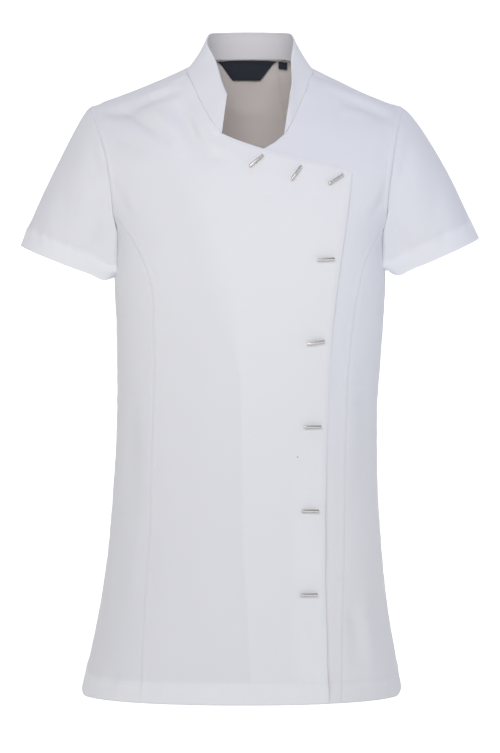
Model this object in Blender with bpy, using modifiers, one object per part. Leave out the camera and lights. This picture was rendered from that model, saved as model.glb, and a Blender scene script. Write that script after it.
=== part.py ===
"""Beautician tunic: a short-sleeved, asymmetric wrap tunic with a stand collar.

Metres, +Z up, front faces -Y, +X is the wearer's left.  The origin is the level of the high
shoulder points, mid-width, where the wearer's shoulders carry the garment.

The hollow garment is one form with a front and a back.  Each is a stack of sections, and
every section runs from the centre line (across = 0) to an edge (across = 1 or -1), which is
the side seam up to the underarm and the armhole above it.  The cut pieces are grids on that
form, held between their seam lines, and each is a wall of cloth.
"""

import math

import bmesh
import bpy
import numpy as np
from mathutils import Matrix, Vector
from mathutils.bvhtree import BVHTree

# ------------------------------------------------------------------ driving dimensions

CLOTH = 0.0014            # wall of a cloth panel
COLLAR_CLOTH = 0.0018     # the collar is two layers and an interlining
LABEL_CLOTH = 0.0010
SEAM_GAP = 0.0007         # pieces stay this far apart at a seam
LAYER_GAP = 0.0010        # between the wrap and the front under it
LABEL_GAP = 0.0013        # between the back panels and what lies inside them

# Torso from the hem to the underarm: one row a height.  "fullness" is the exponent of the
# section, which is 2 for an ellipse and more for a fuller, flatter one.
TORSO_COLUMNS = ("height", "half_width", "front_depth", "back_depth", "shift", "fullness")
TORSO = (
    (-0.7440, 0.1915, 0.1330, 0.1345, -0.0102, 2.30),
    (-0.6850, 0.1802, 0.1290, 0.1345, -0.0084, 2.30),
    (-0.6280, 0.1704, 0.1255, 0.1315, -0.0072, 2.30),
    (-0.5700, 0.1634, 0.1200, 0.1245, -0.0060, 2.30),
    (-0.5120, 0.1590, 0.1135, 0.1145, -0.0054, 2.30),
    (-0.4550, 0.1566, 0.1070, 0.1035, -0.0042, 2.30),
    (-0.4120, 0.1560, 0.1040, 0.0970, -0.0036, 2.32),
    (-0.3540, 0.1577, 0.1050, 0.0925, -0.0018, 2.38),
    (-0.2960, 0.1603, 0.1105, 0.0950, -0.0003, 2.52),
    (-0.2500, 0.1622, 0.1155, 0.1010, 0.0000, 2.74),
    (-0.2080, 0.1600, 0.1172, 0.1065, 0.0000, 3.00),
)

# Above the underarm: one row a level, with the centre line and the armhole edge.  "turn" is
# how many degrees the section turns from the centre to its edge (90 is a whole quarter), and
# "slump" moves both edges the same way, as the garment hangs lower on its left shoulder.
YOKE_COLUMNS = ("level", "centre_y", "centre_z", "edge_x", "edge_y", "edge_z", "turn",
                "fullness", "slump")
FRONT_YOKE = (
    (-0.202, -0.1169, -0.2020, 0.1598, -0.0135, -0.2057, 88.2, 3.00, 0.0000),
    (-0.196, -0.1163, -0.1960, 0.1597, -0.0270, -0.2035, 84.7, 3.00, 0.0000),
    (-0.184, -0.1145, -0.1830, 0.1598, -0.0440, -0.1940, 78.7, 3.00, 0.0000),
    (-0.170, -0.1115, -0.1680, 0.1605, -0.0570, -0.1790, 72.4, 3.00, 0.0000),
    (-0.150, -0.1055, -0.1460, 0.1628, -0.0655, -0.1550, 65.9, 3.00, 0.0000),
    (-0.127, -0.0965, -0.1200, 0.1665, -0.0660, -0.1270, 61.6, 3.00, 0.0000),
    (-0.105, -0.0850, -0.0940, 0.1710, -0.0590, -0.1020, 58.6, 2.90, -0.0008),
    (-0.085, -0.0710, -0.0670, 0.1765, -0.0470, -0.0800, 55.6, 2.70, -0.0018),
    (-0.066, -0.0540, -0.0400, 0.1820, -0.0310, -0.0620, 52.8, 2.45, -0.0030),
    (-0.054, -0.0415, -0.0175, 0.1852, -0.0185, -0.0525, 50.8, 2.25, -0.0040),
    (-0.045, -0.0300, -0.0020, 0.1869, -0.0095, -0.0470, 49.2, 2.14, -0.0044),
    (-0.038, -0.0200, 0.0080, 0.1875, -0.0030, -0.0445, 48.6, 2.10, -0.0046),
)
BACK_YOKE = (
    (-0.200, 0.1073, -0.1996, 0.1598, 0.0140, -0.2056, 87.8, 3.00, 0.0000),
    (-0.192, 0.1080, -0.1910, 0.1597, 0.0280, -0.2030, 83.8, 3.00, 0.0000),
    (-0.176, 0.1095, -0.1740, 0.1602, 0.0460, -0.1920, 77.1, 3.00, 0.0000),
    (-0.154, 0.1105, -0.1500, 0.1630, 0.0600, -0.1680, 70.6, 3.00, 0.0000),
    (-0.126, 0.1100, -0.1200, 0.1675, 0.0640, -0.1350, 66.0, 3.00, 0.0000),
    (-0.098, 0.1070, -0.0900, 0.1725, 0.0590, -0.1050, 62.4, 2.90, -0.0008),
    (-0.070, 0.1005, -0.0580, 0.1780, 0.0470, -0.0790, 58.6, 2.70, -0.0020),
    (-0.044, 0.0900, -0.0270, 0.1830, 0.0310, -0.0605, 54.6, 2.45, -0.0030),
    (-0.022, 0.0770, -0.0010, 0.1862, 0.0160, -0.0500, 51.8, 2.25, -0.0038),
    (-0.004, 0.0630, 0.0232, 0.1875, 0.0070, -0.0455, 49.6, 2.14, -0.0043),
    (0.016, 0.0350, 0.0245, 0.1878, 0.0020, -0.0438, 48.6, 2.10, -0.0046),
    (0.032, 0.0080, 0.0220, 0.1878, 0.0000, -0.0438, 48.6, 2.10, -0.0046),
    (0.042, -0.0080, 0.0165, 0.1877, -0.0015, -0.0441, 48.6, 2.10, -0.0046),
    (0.050, -0.0200, 0.0080, 0.1875, -0.0030, -0.0445, 48.6, 2.10, -0.0046),
)
QUARTER = 90.0            # the turn of every section below the underarm
SOFTENING = 0.016         # the centre line is averaged this far to either side

# How far a section has dropped from its centre to its edge: level across the nape, then down
# beside the neck and along the shoulder.
DROP_COLUMNS = ("across", "share")
DROP = (
    (0.000, 0.000),
    (0.120, 0.008),
    (0.235, 0.040),
    (0.300, 0.115),
    (0.360, 0.205),
    (0.420, 0.290),
    (0.500, 0.403),
    (0.600, 0.533),
    (0.700, 0.660),
    (0.800, 0.778),
    (0.900, 0.890),
    (1.000, 1.000),
)

# Seam and edge lines of the front, as x at a height.
PRINCESS_COLUMNS = ("height", "right_x", "left_x")
PRINCESS = (
    (-0.7440, -0.1275, 0.1055),
    (-0.6400, -0.1225, 0.1080),
    (-0.5300, -0.1170, 0.1103),
    (-0.4300, -0.1142, 0.1132),
    (-0.3500, -0.1121, 0.1172),
    (-0.2900, -0.1125, 0.1232),
    (-0.2540, -0.1169, 0.1292),
    (-0.2300, -0.1260, 0.1358),
    (-0.2080, -0.1365, 0.1465),
    (-0.1930, -0.1470, 0.1565),
    (-0.1760, -0.1600, 0.1690),
)
PRINCESS_TOP = {"right": -0.1695, "left": -0.1790}      # level where it meets the armhole
TIP_CUT = 0.0025                                        # the side panel's tip stops short

NECK_COLUMNS = ("height", "right_x", "left_x")
NECK = (
    (-0.0030, -0.0742, 0.0742),
    (-0.0250, -0.0648, 0.0662),
    (-0.0490, -0.0544, 0.0568),
    (-0.0690, -0.0434, 0.0482),
    (-0.0830, -0.0328, 0.0400),
)
EDGE_COLUMNS = ("height", "x")
WRAP_TOP = (
    (-0.0830, -0.0328),
    (-0.0895, -0.0190),
    (-0.0955, -0.0030),
    (-0.1016, 0.0140),
    (-0.1073, 0.0333),
    (-0.1147, 0.0603),
    (-0.1205, 0.0900),
    (-0.1262, 0.1110),
    (-0.1310, 0.1187),
)
WRAP_EDGE = (
    (-0.1310, 0.1187),
    (-0.1591, 0.1154),
    (-0.1974, 0.1098),
    (-0.2247, 0.1054),
    (-0.2640, 0.1003),
    (-0.3133, 0.0952),
    (-0.3631, 0.0919),
    (-0.4225, 0.0898),
    (-0.5266, 0.0866),
    (-0.6010, 0.0864),
    (-0.7440, 0.0900),
)
UNDER_EDGE = (
    (-0.0830, 0.0400),
    (-0.0935, 0.0285),
    (-0.1016, 0.0150),
    (-0.1190, -0.0090),
    (-0.1240, -0.0150),
    (-0.4120, -0.0186),
    (-0.7440, -0.0250),
)
WRAP_LIFT_START = -0.0820     # x where the wrap begins to rise over the front under it
WRAP_LIFT_RUN = 0.0400

# Back: seams from the neck down, and the neckline from them to the shoulder seams.
BACK_SEAM_COLUMNS = ("height", "x")
BACK_SEAM = (
    (-0.7440, 0.0950),
    (-0.5700, 0.0830),
    (-0.4120, 0.0720),
    (-0.3000, 0.0715),
    (-0.2000, 0.0640),
    (-0.1000, 0.0500),
    (0.0205, 0.0330),
)
NAPE_LEVEL = -0.0030
BACK_NECK_COLUMNS = ("level", "x")
BACK_NECK = (
    (-0.0030, 0.0330),
    (0.0060, 0.0490),
    (0.0160, 0.0610),
    (0.0300, 0.0710),
    (0.0500, 0.0742),
)

# The hem ring of each sleeve: slant is degrees below level, crown is how full the top is.
CUFF_COLUMNS = ("out", "height", "slant", "radius_across", "crown")
CUFF = {
    "right": (0.2195, -0.2303, 21.0, 0.0590, 0.90),
    "left": (0.2214, -0.2235, 23.6, 0.0572, 1.80),
}
CUFF_RADIUS_DEPTH = 0.0500
CUFF_TIP = 0.0045                     # the front of the cuff hangs this much lower
CUFF_PULL = 0.075                     # how far the cuff's own direction reaches up the sleeve
CUFF_PULL_LOSS = 0.55                 # share of that lost at the underarm

# How the cloth leaves the armhole, from the shoulder (share 0) round the underarm (0.5).
SLEEVE_LEAVE_COLUMNS = ("share", "out", "back", "down", "reach")
SLEEVE_LEAVE = (
    (0.00, 0.90, 0.00, 0.44, 0.050),
    (0.12, 0.72, -0.18, 0.66, 0.075),
    (0.25, 0.55, 0.00, 0.83, 0.090),
    (0.38, 0.34, 0.18, 0.92, 0.060),
    (0.50, 0.16, 0.00, 0.98, 0.030),
    (0.62, 0.34, -0.18, 0.92, 0.060),
    (0.75, 0.55, 0.00, 0.83, 0.090),
    (0.88, 0.72, 0.18, 0.66, 0.075),
    (1.00, 0.90, 0.00, 0.44, 0.050),
)
SLEEVE_CLEAR = 0.0010                 # from the armhole's edge to the sleeve

# Collar: its top edge, round from the right front corner, at shares of the neck seam.
COLLAR_COLUMNS = ("share", "x", "y", "z")
COLLAR_TOP = (
    (0.00, -0.0270, -0.0540, -0.0345),
    (0.10, -0.0335, -0.0440, -0.0170),
    (0.20, -0.0405, -0.0270, 0.0080),
    (0.30, -0.0520, -0.0050, 0.0350),
    (0.37, -0.0500, 0.0190, 0.0475),
    (0.43, -0.0340, 0.0400, 0.0515),
    (0.50, 0.0000, 0.0490, 0.0530),
    (0.57, 0.0340, 0.0400, 0.0515),
    (0.63, 0.0500, 0.0190, 0.0475),
    (0.70, 0.0528, -0.0050, 0.0350),
    (0.80, 0.0490, -0.0290, 0.0080),
    (0.90, 0.0500, -0.0490, -0.0170),
    (1.00, 0.0472, -0.0620, -0.0350),
)
COLLAR_GAP = 0.0012                   # from the neckline's edge to the collar
COLLAR_SWELL = 0.0005                 # the band bows outwards this much at half height

# Inside the back neck.
TAPE_HALF = 0.0440
TAPE_WIDTH = 0.0034
TAPE_COLUMNS = 16
LABEL_COLUMNS = ("name", "top_left", "top_right", "foot_left", "foot_right", "top", "height")
LABELS = (
    ("neck_label", -0.0400, 0.0330, -0.0215, 0.0125, -0.0068, 0.0155),
    ("size_tab", 0.0350, 0.0460, 0.0352, 0.0458, -0.0068, 0.0066),
)
LABEL_DROP = 0.0008                   # from the tape's level to the label
LABEL_ROWS = 3
LABEL_WIDTHS = 6

# Bar buttons, down the wrap: centre and lean above level.
BAR_COLUMNS = ("x", "height", "angle")
BARS = (
    (0.0074, -0.1170, 45.0),
    (0.0537, -0.1312, 57.0),
    (0.0993, -0.1382, 37.0),
    (0.0870, -0.2310, 2.0),
    (0.0755, -0.3268, 7.0),
    (0.0722, -0.4250, 1.0),
    (0.0691, -0.5220, 0.0),
    (0.0670, -0.6180, 1.0),
)
BAR_LENGTH = 0.0215
BAR_RADIUS = 0.0017
SHANK_RADIUS = 0.0014
SHANK_RISE = 0.0012                   # cloth to the underside of the bar
BAR_SEAT = 0.0004                     # cloth to the foot of the shank
BAR_ROUNDING = 0.45                   # of the bar's radius, at its ends
BAR_SIDES = 12
SHANK_SIDES = 8

FINISH_COLUMNS = ("name", "red", "green", "blue", "roughness", "metallic")
FINISHES = (
    ("white_poplin", 0.800, 0.810, 0.830, 0.80, 0.0),
    ("white_collar", 0.780, 0.790, 0.820, 0.80, 0.0),
    ("white_tape", 0.820, 0.820, 0.820, 0.75, 0.0),
    ("navy_label", 0.010, 0.014, 0.035, 0.60, 0.0),
    ("polished_metal", 0.620, 0.620, 0.630, 0.22, 1.0),
)

# Grid sizes.
FRONT_LEVELS = (
    -0.7440, -0.7100, -0.6650, -0.6200, -0.5750, -0.5300, -0.4850, -0.4400, -0.3950,
    -0.3500, -0.3100, -0.2800, -0.2540, -0.2300, -0.2080, -0.1940, -0.1820, -0.1680,
    -0.1540, -0.1400, -0.1240, -0.1190, -0.1150, -0.1100, -0.1040, -0.0880, -0.0760, -0.0640,
    -0.0540, -0.0450, -0.0380,
)
BACK_LEVELS = (
    -0.7440, -0.7000, -0.6500, -0.6000, -0.5500, -0.5000, -0.4500, -0.4000, -0.3500,
    -0.3000, -0.2500, -0.2080, -0.1940, -0.1800, -0.1600, -0.1350, -0.1100, -0.0850,
    -0.0600, -0.0450, -0.0340, -0.0260, -0.0190, -0.0130, -0.0075,
)
BACK_TOP_LEVELS = (0.0060, 0.0160, 0.0260, 0.0360, 0.0440, 0.0500)
WRAP_COLUMNS = 15
UNDER_COLUMNS = 8
SIDE_FRONT_COLUMNS = 5
BACK_COLUMNS = 8
SIDE_BACK_SHARES = (0.00, 0.05, 0.12, 0.24, 0.42, 0.60, 0.80, 1.00)
SLEEVE_RINGS = 5
COLLAR_SHARES = 28
COLLAR_ROWS = 4
SEAM_SAMPLES = 60         # points on each run of the neck seam
NAPE_SAMPLES = 30
SLUMP_STEPS = 8           # steps that find x where an edge has slumped
LINE_STEPS = 40           # steps that find where a line crosses a level
HALVINGS = 50             # halvings that find a level

# ------------------------------------------------------------------ curves through tables


def column(table, columns, name):
    """One named column of a table as an array."""
    return np.array([row[columns.index(name)] for row in table], dtype=float)


def smooth(knots, values):
    """A curve through a table that never swings past its rows."""
    order = np.argsort(knots)
    knots = np.asarray(knots, dtype=float)[order]
    values = np.asarray(values, dtype=float)[order]
    step = np.diff(knots)
    rise = np.diff(values) / step
    slope = np.empty_like(values)
    slope[0] = rise[0]
    slope[-1] = rise[-1]
    for i in range(1, len(values) - 1):
        if rise[i - 1] * rise[i] <= 0.0:
            slope[i] = 0.0
        else:
            before = 2.0 * step[i] + step[i - 1]
            after = step[i] + 2.0 * step[i - 1]
            slope[i] = (before + after) / (before / rise[i - 1] + after / rise[i])

    def at(where):
        where = np.clip(where, knots[0], knots[-1])
        i = np.clip(np.searchsorted(knots, where) - 1, 0, len(step) - 1)
        t = (where - knots[i]) / step[i]
        start = (1.0 + 2.0 * t) * (1.0 - t) ** 2 * values[i]
        leave = t * (1.0 - t) ** 2 * step[i] * slope[i]
        end = t * t * (3.0 - 2.0 * t) * values[i + 1]
        arrive = t * t * (t - 1.0) * step[i] * slope[i + 1]
        return start + leave + end + arrive

    return at


def softened(knots, values):
    """The same curve averaged over a short way, which ends where the curve does."""
    sharp = smooth(knots, values)
    low = min(knots)
    high = max(knots)

    def at(where):
        reach = np.clip(np.minimum(where - low, high - where), 0.0, SOFTENING)
        offsets = np.linspace(-1.0, 1.0, 9)
        weights = 1.1 - np.abs(offsets)
        parts = [w * sharp(where + o * reach) for w, o in zip(weights, offsets)]
        return sum(parts) / sum(weights)

    return at


def straight(table, columns, name, key="height"):
    """A polyline through a table of heights."""
    knots = column(table, columns, key)
    order = np.argsort(knots)
    values = column(table, columns, name)[order]
    return lambda where: np.interp(where, knots[order], values)


def ease(t):
    """0 to 1 with soft ends."""
    t = np.clip(t, 0.0, 1.0)
    return t * t * (3.0 - 2.0 * t)


# ------------------------------------------------------------------ the garment's form


def side_form(yoke, depth_name, facing):
    """The smooth columns of the front (facing -1) or the back (facing 1)."""
    height = column(TORSO, TORSO_COLUMNS, "height")
    depth = facing * column(TORSO, TORSO_COLUMNS, depth_name)
    level = np.concatenate([height, column(yoke, YOKE_COLUMNS, "level")])
    stacked = {
        "centre_y": (depth, "centre_y"),
        "centre_z": (height, "centre_z"),
        "edge_x": (column(TORSO, TORSO_COLUMNS, "half_width"), "edge_x"),
        "edge_y": (np.zeros_like(height), "edge_y"),
        "edge_z": (height, "edge_z"),
        "turn": (np.full_like(height, QUARTER), "turn"),
        "fullness": (column(TORSO, TORSO_COLUMNS, "fullness"), "fullness"),
        "slump": (np.zeros_like(height), "slump"),
    }
    form = {"facing": facing, "shift": smooth(height, column(TORSO, TORSO_COLUMNS, "shift"))}
    for name, (lower, upper) in stacked.items():
        values = np.concatenate([lower, column(yoke, YOKE_COLUMNS, upper)])
        if name in ("centre_y", "edge_y"):
            values = values + facing * SEAM_GAP / 2.0
        curve = softened if name == "centre_y" else smooth
        form[name] = curve(level, values)
    return form


FRONT = side_form(FRONT_YOKE, "front_depth", -1.0)
BACK = side_form(BACK_YOKE, "back_depth", 1.0)


def reach_of(form, level):
    """How much of its full width each section reaches before it is cut off."""
    return np.sin(np.radians(np.clip(form["turn"](level), 0.0, QUARTER)))


def bow(across, turned, power):
    """How far a section has gone from its centre depth to its edge depth."""
    reach = np.clip(np.abs(across) * turned, 0.0, 1.0)
    full = 1.0 - (1.0 - turned ** power) ** (1.0 / power)
    return (1.0 - (1.0 - reach ** power) ** (1.0 / power)) / full


DROP_CURVE = smooth(column(DROP, DROP_COLUMNS, "across"), column(DROP, DROP_COLUMNS, "share"))


def drop(across):
    """How far a section has gone from its centre height to its edge height."""
    return DROP_CURVE(np.abs(across))


def on_form(form, across, level):
    """Points of the form, as an array ending in x, y, z."""
    across, level = np.broadcast_arrays(np.asarray(across, float), np.asarray(level, float))
    share = bow(across, reach_of(form, level), form["fullness"](level))
    x = form["shift"](level) + form["edge_x"](level) * across
    x = x + form["slump"](level) * across ** 2
    y = form["centre_y"](level) + (form["edge_y"](level) - form["centre_y"](level)) * share
    fall = drop(across)
    z = form["centre_z"](level) + (form["edge_z"](level) - form["centre_z"](level)) * fall
    return np.stack([x, y, z], axis=-1)


def outward(form, across, level):
    """Unit normals of the form, out of the garment."""
    nudge = 0.002
    inner = np.clip(across, -0.99, 0.99)
    along = on_form(form, inner + nudge, level) - on_form(form, inner - nudge, level)
    up = on_form(form, inner, level + nudge) - on_form(form, inner, level - nudge)
    normal = np.cross(along, up) * -form["facing"]
    return normal / np.linalg.norm(normal, axis=-1, keepdims=True)


def across_of(form, x, level):
    """The across value of x at a level."""
    across = 0.0
    for _ in range(SLUMP_STEPS):
        slumped = x - form["shift"](level) - form["slump"](level) * across ** 2
        across = slumped / form["edge_x"](level)
    return across


def across_at(form, level, x_at_height):
    """Where a line given as x at a height crosses each level, as an across value."""
    across = np.zeros_like(level)
    for _ in range(LINE_STEPS):
        height = on_form(form, across, level)[..., 2]
        aim = across_of(form, x_at_height(height), level)
        across = np.clip(0.5 * across + 0.5 * aim, -1.0, 1.0)
    return across


def level_at(form, x, height):
    """The level of the point of the form that is at x and height."""
    low = TORSO[0][0]
    high = FRONT_YOKE[-1][0]
    for _ in range(HALVINGS):
        level = 0.5 * (low + high)
        if on_form(form, across_of(form, x, level), level)[2] < height:
            low = level
        else:
            high = level
    return 0.5 * (low + high)


def between(form, level, left, right, share):
    """Rows of across values at shares of the way round from a left to a right line."""
    turned = reach_of(form, level)
    quarter = np.arcsin(turned)
    start = np.arcsin(np.clip(left * turned, -1.0, 1.0)) / quarter
    end = np.arcsin(np.clip(right * turned, -1.0, 1.0)) / quarter
    place = start[:, None] + (end - start)[:, None] * np.asarray(share)[None, :]
    return np.sin(place * quarter[:, None]) / turned[:, None]


def even(count):
    """The shares of that many equal columns."""
    return np.linspace(0.0, 1.0, count + 1)


# ------------------------------------------------------------------ objects

collection = bpy.data.collections.new("beautician_tunic")
cutters = bpy.data.collections.new("cutters")


def finish(row):
    """A plain material from a row of the table of finishes."""
    look = dict(zip(FINISH_COLUMNS, row))
    material = bpy.data.materials.new(look["name"])
    material.use_nodes = True
    shader = material.node_tree.nodes["Principled BSDF"]
    colour = (look["red"], look["green"], look["blue"], 1.0)
    shader.inputs["Base Color"].default_value = colour
    shader.inputs["Roughness"].default_value = look["roughness"]
    shader.inputs["Metallic"].default_value = look["metallic"]
    return material


def add_object(name, mesh, material):
    """A mesh as a named piece of the tunic."""
    thing = bpy.data.objects.new(name, mesh)
    mesh.materials.append(material)
    collection.objects.link(thing)
    return thing


def cloth_sheet(name, points, material, thickness=CLOTH, tube=False):
    """A grid of points (rows, columns, xyz) as a wall of cloth inside those points."""
    rows, columns = points.shape[:2]
    mesh = bpy.data.meshes.new(name)
    grid = bmesh.new()
    bmesh.ops.create_grid(grid, x_segments=columns - 1, y_segments=rows - 1, size=1.0)
    for vertex, point in zip(grid.verts, points.reshape(-1, 3)):
        vertex.co = Vector(point)
    if tube:
        bmesh.ops.remove_doubles(grid, verts=grid.verts, dist=1e-6)
    grid.to_mesh(mesh)
    grid.free()
    thing = add_object(name, mesh, material)
    wall = thing.modifiers.new("wall", "SOLIDIFY")
    wall.thickness = thickness
    wall.offset = -1.0
    wall.use_even_offset = False
    return thing


# ------------------------------------------------------------------ fronts

HALF_SEAM = SEAM_GAP / 2.0


def front_levels():
    """Levels of every front row, with a row through each corner of the wrap."""
    corners = [level_at(FRONT, WRAP_TOP[i][1], WRAP_TOP[i][0]) for i in (0, -2, -1)]
    tips = [top - TIP_CUT for top in PRINCESS_TOP.values()]
    return np.array(sorted(set(FRONT_LEVELS) | set(corners) | set(tips)))


def neckline_and(side, rows):
    """x at a height down one side of the front neckline and on along an edge."""
    heights = column(NECK, NECK_COLUMNS, "height")[:-1]
    neckline = tuple(zip(heights, column(NECK, NECK_COLUMNS, side)[:-1]))
    return straight(neckline + rows, EDGE_COLUMNS, "x")


def princess_or_armhole(level, which):
    """Across value of a front's outer line: the princess seam, then the armhole."""
    x_at = smooth(column(PRINCESS, PRINCESS_COLUMNS, "height"),
                  column(PRINCESS, PRINCESS_COLUMNS, which + "_x"))
    seam = across_at(FRONT, level, x_at)
    edge = -1.0 if which == "right" else 1.0
    return np.where(level < PRINCESS_TOP[which], seam, edge)


def wrap_lift(points):
    """How far the wrap stands over the front that it laps."""
    side = ease((points[..., 0] - WRAP_LIFT_START) / WRAP_LIFT_RUN)
    return (CLOTH + LAYER_GAP) * side


def right_centre_front(material):
    """The wrap: from the right princess seam and armhole across to its free edge."""
    level = front_levels()
    left = princess_or_armhole(level, "right")
    free_edge = neckline_and("right_x", WRAP_TOP + WRAP_EDGE[1:])
    right = across_at(FRONT, level, free_edge)
    seam_shift = HALF_SEAM / FRONT["edge_x"](level)
    across = between(FRONT, level, left + seam_shift, right, even(WRAP_COLUMNS))
    rows = level[:, None] + 0.0 * across
    points = on_form(FRONT, across, rows)
    points = points + outward(FRONT, across, rows) * wrap_lift(points)[..., None]
    return cloth_sheet("right_centre_front", points, material)


def left_centre_front(material):
    """The front under the wrap: from its hidden edge to the left princess seam."""
    level = front_levels()
    left = across_at(FRONT, level, neckline_and("left_x", UNDER_EDGE))
    right = princess_or_armhole(level, "left")
    seam_shift = HALF_SEAM / FRONT["edge_x"](level)
    across = between(FRONT, level, left, right - seam_shift, even(UNDER_COLUMNS))
    points = on_form(FRONT, across, level[:, None] + 0.0 * across)
    return cloth_sheet("left_centre_front", points, material)


def side_front(which, material):
    """The panel between a princess seam and the side seam, up to the armhole."""
    level = front_levels()
    level = level[level <= PRINCESS_TOP[which] - TIP_CUT]
    seam = princess_or_armhole(level, which)
    seam_shift = HALF_SEAM / FRONT["edge_x"](level)
    edge = np.ones_like(level)
    if which == "right":
        across = between(FRONT, level, -edge, seam - seam_shift, even(SIDE_FRONT_COLUMNS))
    else:
        across = between(FRONT, level, seam + seam_shift, edge, even(SIDE_FRONT_COLUMNS))
    points = on_form(FRONT, across, level[:, None] + 0.0 * across)
    return cloth_sheet(which + "_side_front", points, material)


# ------------------------------------------------------------------ back


def back_seam_across(level, facing):
    """How far across the back seam of one side is at each level."""
    x_at = smooth(column(BACK_SEAM, BACK_SEAM_COLUMNS, "height"),
                  column(BACK_SEAM, BACK_SEAM_COLUMNS, "x"))
    return facing * across_at(BACK, level, lambda height: facing * x_at(height))


def centre_back(material):
    """The panel between the two back seams."""
    level = np.array(BACK_LEVELS + (NAPE_LEVEL,))
    gap = HALF_SEAM / BACK["edge_x"](level)
    left = back_seam_across(level, 1.0) - gap
    right = gap - back_seam_across(level, -1.0)
    across = between(BACK, level, left, right, even(BACK_COLUMNS))
    points = on_form(BACK, across, level[:, None] + 0.0 * across)
    return cloth_sheet("centre_back", points, material)


def side_back(which, material):
    """The panel from a back seam to the side seam, with the back of the armhole."""
    level = np.array(BACK_LEVELS + (NAPE_LEVEL,) + BACK_TOP_LEVELS)
    neck_x = smooth(column(BACK_NECK, BACK_NECK_COLUMNS, "level"),
                    column(BACK_NECK, BACK_NECK_COLUMNS, "x"))
    facing = 1.0 if which == "left" else -1.0
    neck = across_of(BACK, facing * neck_x(level), level)
    gap = HALF_SEAM / BACK["edge_x"](level)
    seam = facing * (back_seam_across(level, facing) + gap)
    inner = np.where(level <= NAPE_LEVEL, seam, neck)
    edge = facing * np.ones_like(level)
    across = between(BACK, level, inner, edge, SIDE_BACK_SHARES)
    if which == "left":
        across = across[:, ::-1]
    points = on_form(BACK, across, level[:, None] + 0.0 * across)
    return cloth_sheet(which + "_side_back", points, material)


# ------------------------------------------------------------------ sleeves


def armhole(facing):
    """An armhole through the panels' own rows, down the front and up the back.

    Returns its points, with x outwards, and the share of the way round at each: 0 and 1 are
    the shoulder seam and 0.5 is the underarm.  Facing is 1 on the left and -1 on the right.
    """
    underarm = TORSO[-1][0]
    front_rows = front_levels()
    front = on_form(FRONT, facing, front_rows[front_rows >= underarm][::-1])
    back_rows = np.array(BACK_LEVELS + (NAPE_LEVEL,) + BACK_TOP_LEVELS)
    back = on_form(BACK, facing, back_rows[back_rows >= underarm])
    halves = []
    for line in (front, back):
        run = np.concatenate([[0.0], np.cumsum(np.linalg.norm(np.diff(line, axis=0), axis=1))])
        halves.append(0.5 * run / run[-1])
    middle = 0.5 * (front[-1] + back[0])
    shoulder = 0.5 * (front[0] + back[-1])
    points = np.concatenate([[shoulder], front[1:-1], [middle], back[1:-1], [shoulder]])
    share = np.concatenate([halves[0], 0.5 + halves[1][1:]])
    return points * np.array([facing, 1.0, 1.0]), share


def cuff(which, share):
    """A sleeve's hem ring at shares that start on its outer side."""
    size = dict(zip(CUFF_COLUMNS, CUFF[which]))
    slant = math.radians(size["slant"])
    angle = 2.0 * math.pi * share
    outwards = np.array([math.cos(slant), 0.0, math.sin(slant)]) * size["radius_across"]
    depth = np.array([0.0, -CUFF_RADIUS_DEPTH, -CUFF_TIP])
    ring = np.cos(angle)[:, None] * outwards + np.sin(angle)[:, None] * depth
    return np.array([size["out"], 0.0, size["height"]]) + ring


def sleeve_points(which, rings):
    """Rings of a sleeve from the cuff up to the armhole."""
    facing = 1.0 if which == "left" else -1.0
    hole, share = armhole(facing)
    keys = column(SLEEVE_LEAVE, SLEEVE_LEAVE_COLUMNS, "share")
    parts = [smooth(keys, column(SLEEVE_LEAVE, SLEEVE_LEAVE_COLUMNS, name))(share)
             for name in ("out", "back", "down", "reach")]
    leave = np.stack([parts[0], parts[1], -parts[2]], axis=-1)
    leave = leave / np.linalg.norm(leave, axis=-1, keepdims=True)
    under = np.sin(math.pi * share) ** 2
    clear = leave * (1.0 - under)[:, None] + np.array([1.0, 0.0, 0.0]) * under[:, None]
    top = hole + clear * SLEEVE_CLEAR
    hem = cuff(which, share)
    size = dict(zip(CUFF_COLUMNS, CUFF[which]))
    slant = math.radians(size["slant"])
    axis = np.array([math.sin(slant), 0.0, -math.cos(slant)])
    crown = 1.0 + (size["crown"] - 1.0) * (1.0 - under) ** 2
    reach_up = leave * (parts[3] * crown)[:, None]
    reach_down = axis * CUFF_PULL * (1.0 - CUFF_PULL_LOSS * under)[:, None]
    rows = []
    for t in np.linspace(1.0, 0.0, rings + 1):
        start = (1.0 + 2.0 * t) * (1.0 - t) ** 2 * top
        leaving = t * (1.0 - t) ** 2 * reach_up
        end = t * t * (3.0 - 2.0 * t) * hem
        arriving = t * t * (t - 1.0) * reach_down
        rows.append(start + leaving + end + arriving)
    return np.array(rows) * np.array([facing, 1.0, 1.0])


def sleeve(which, material):
    """A set-in short sleeve, a tube from the armhole to its hem."""
    points = sleeve_points(which, SLEEVE_RINGS)
    if which == "left":
        points = points[:, ::-1]
    return cloth_sheet(which + "_sleeve", points, material, tube=True)


# ------------------------------------------------------------------ collar


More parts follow.
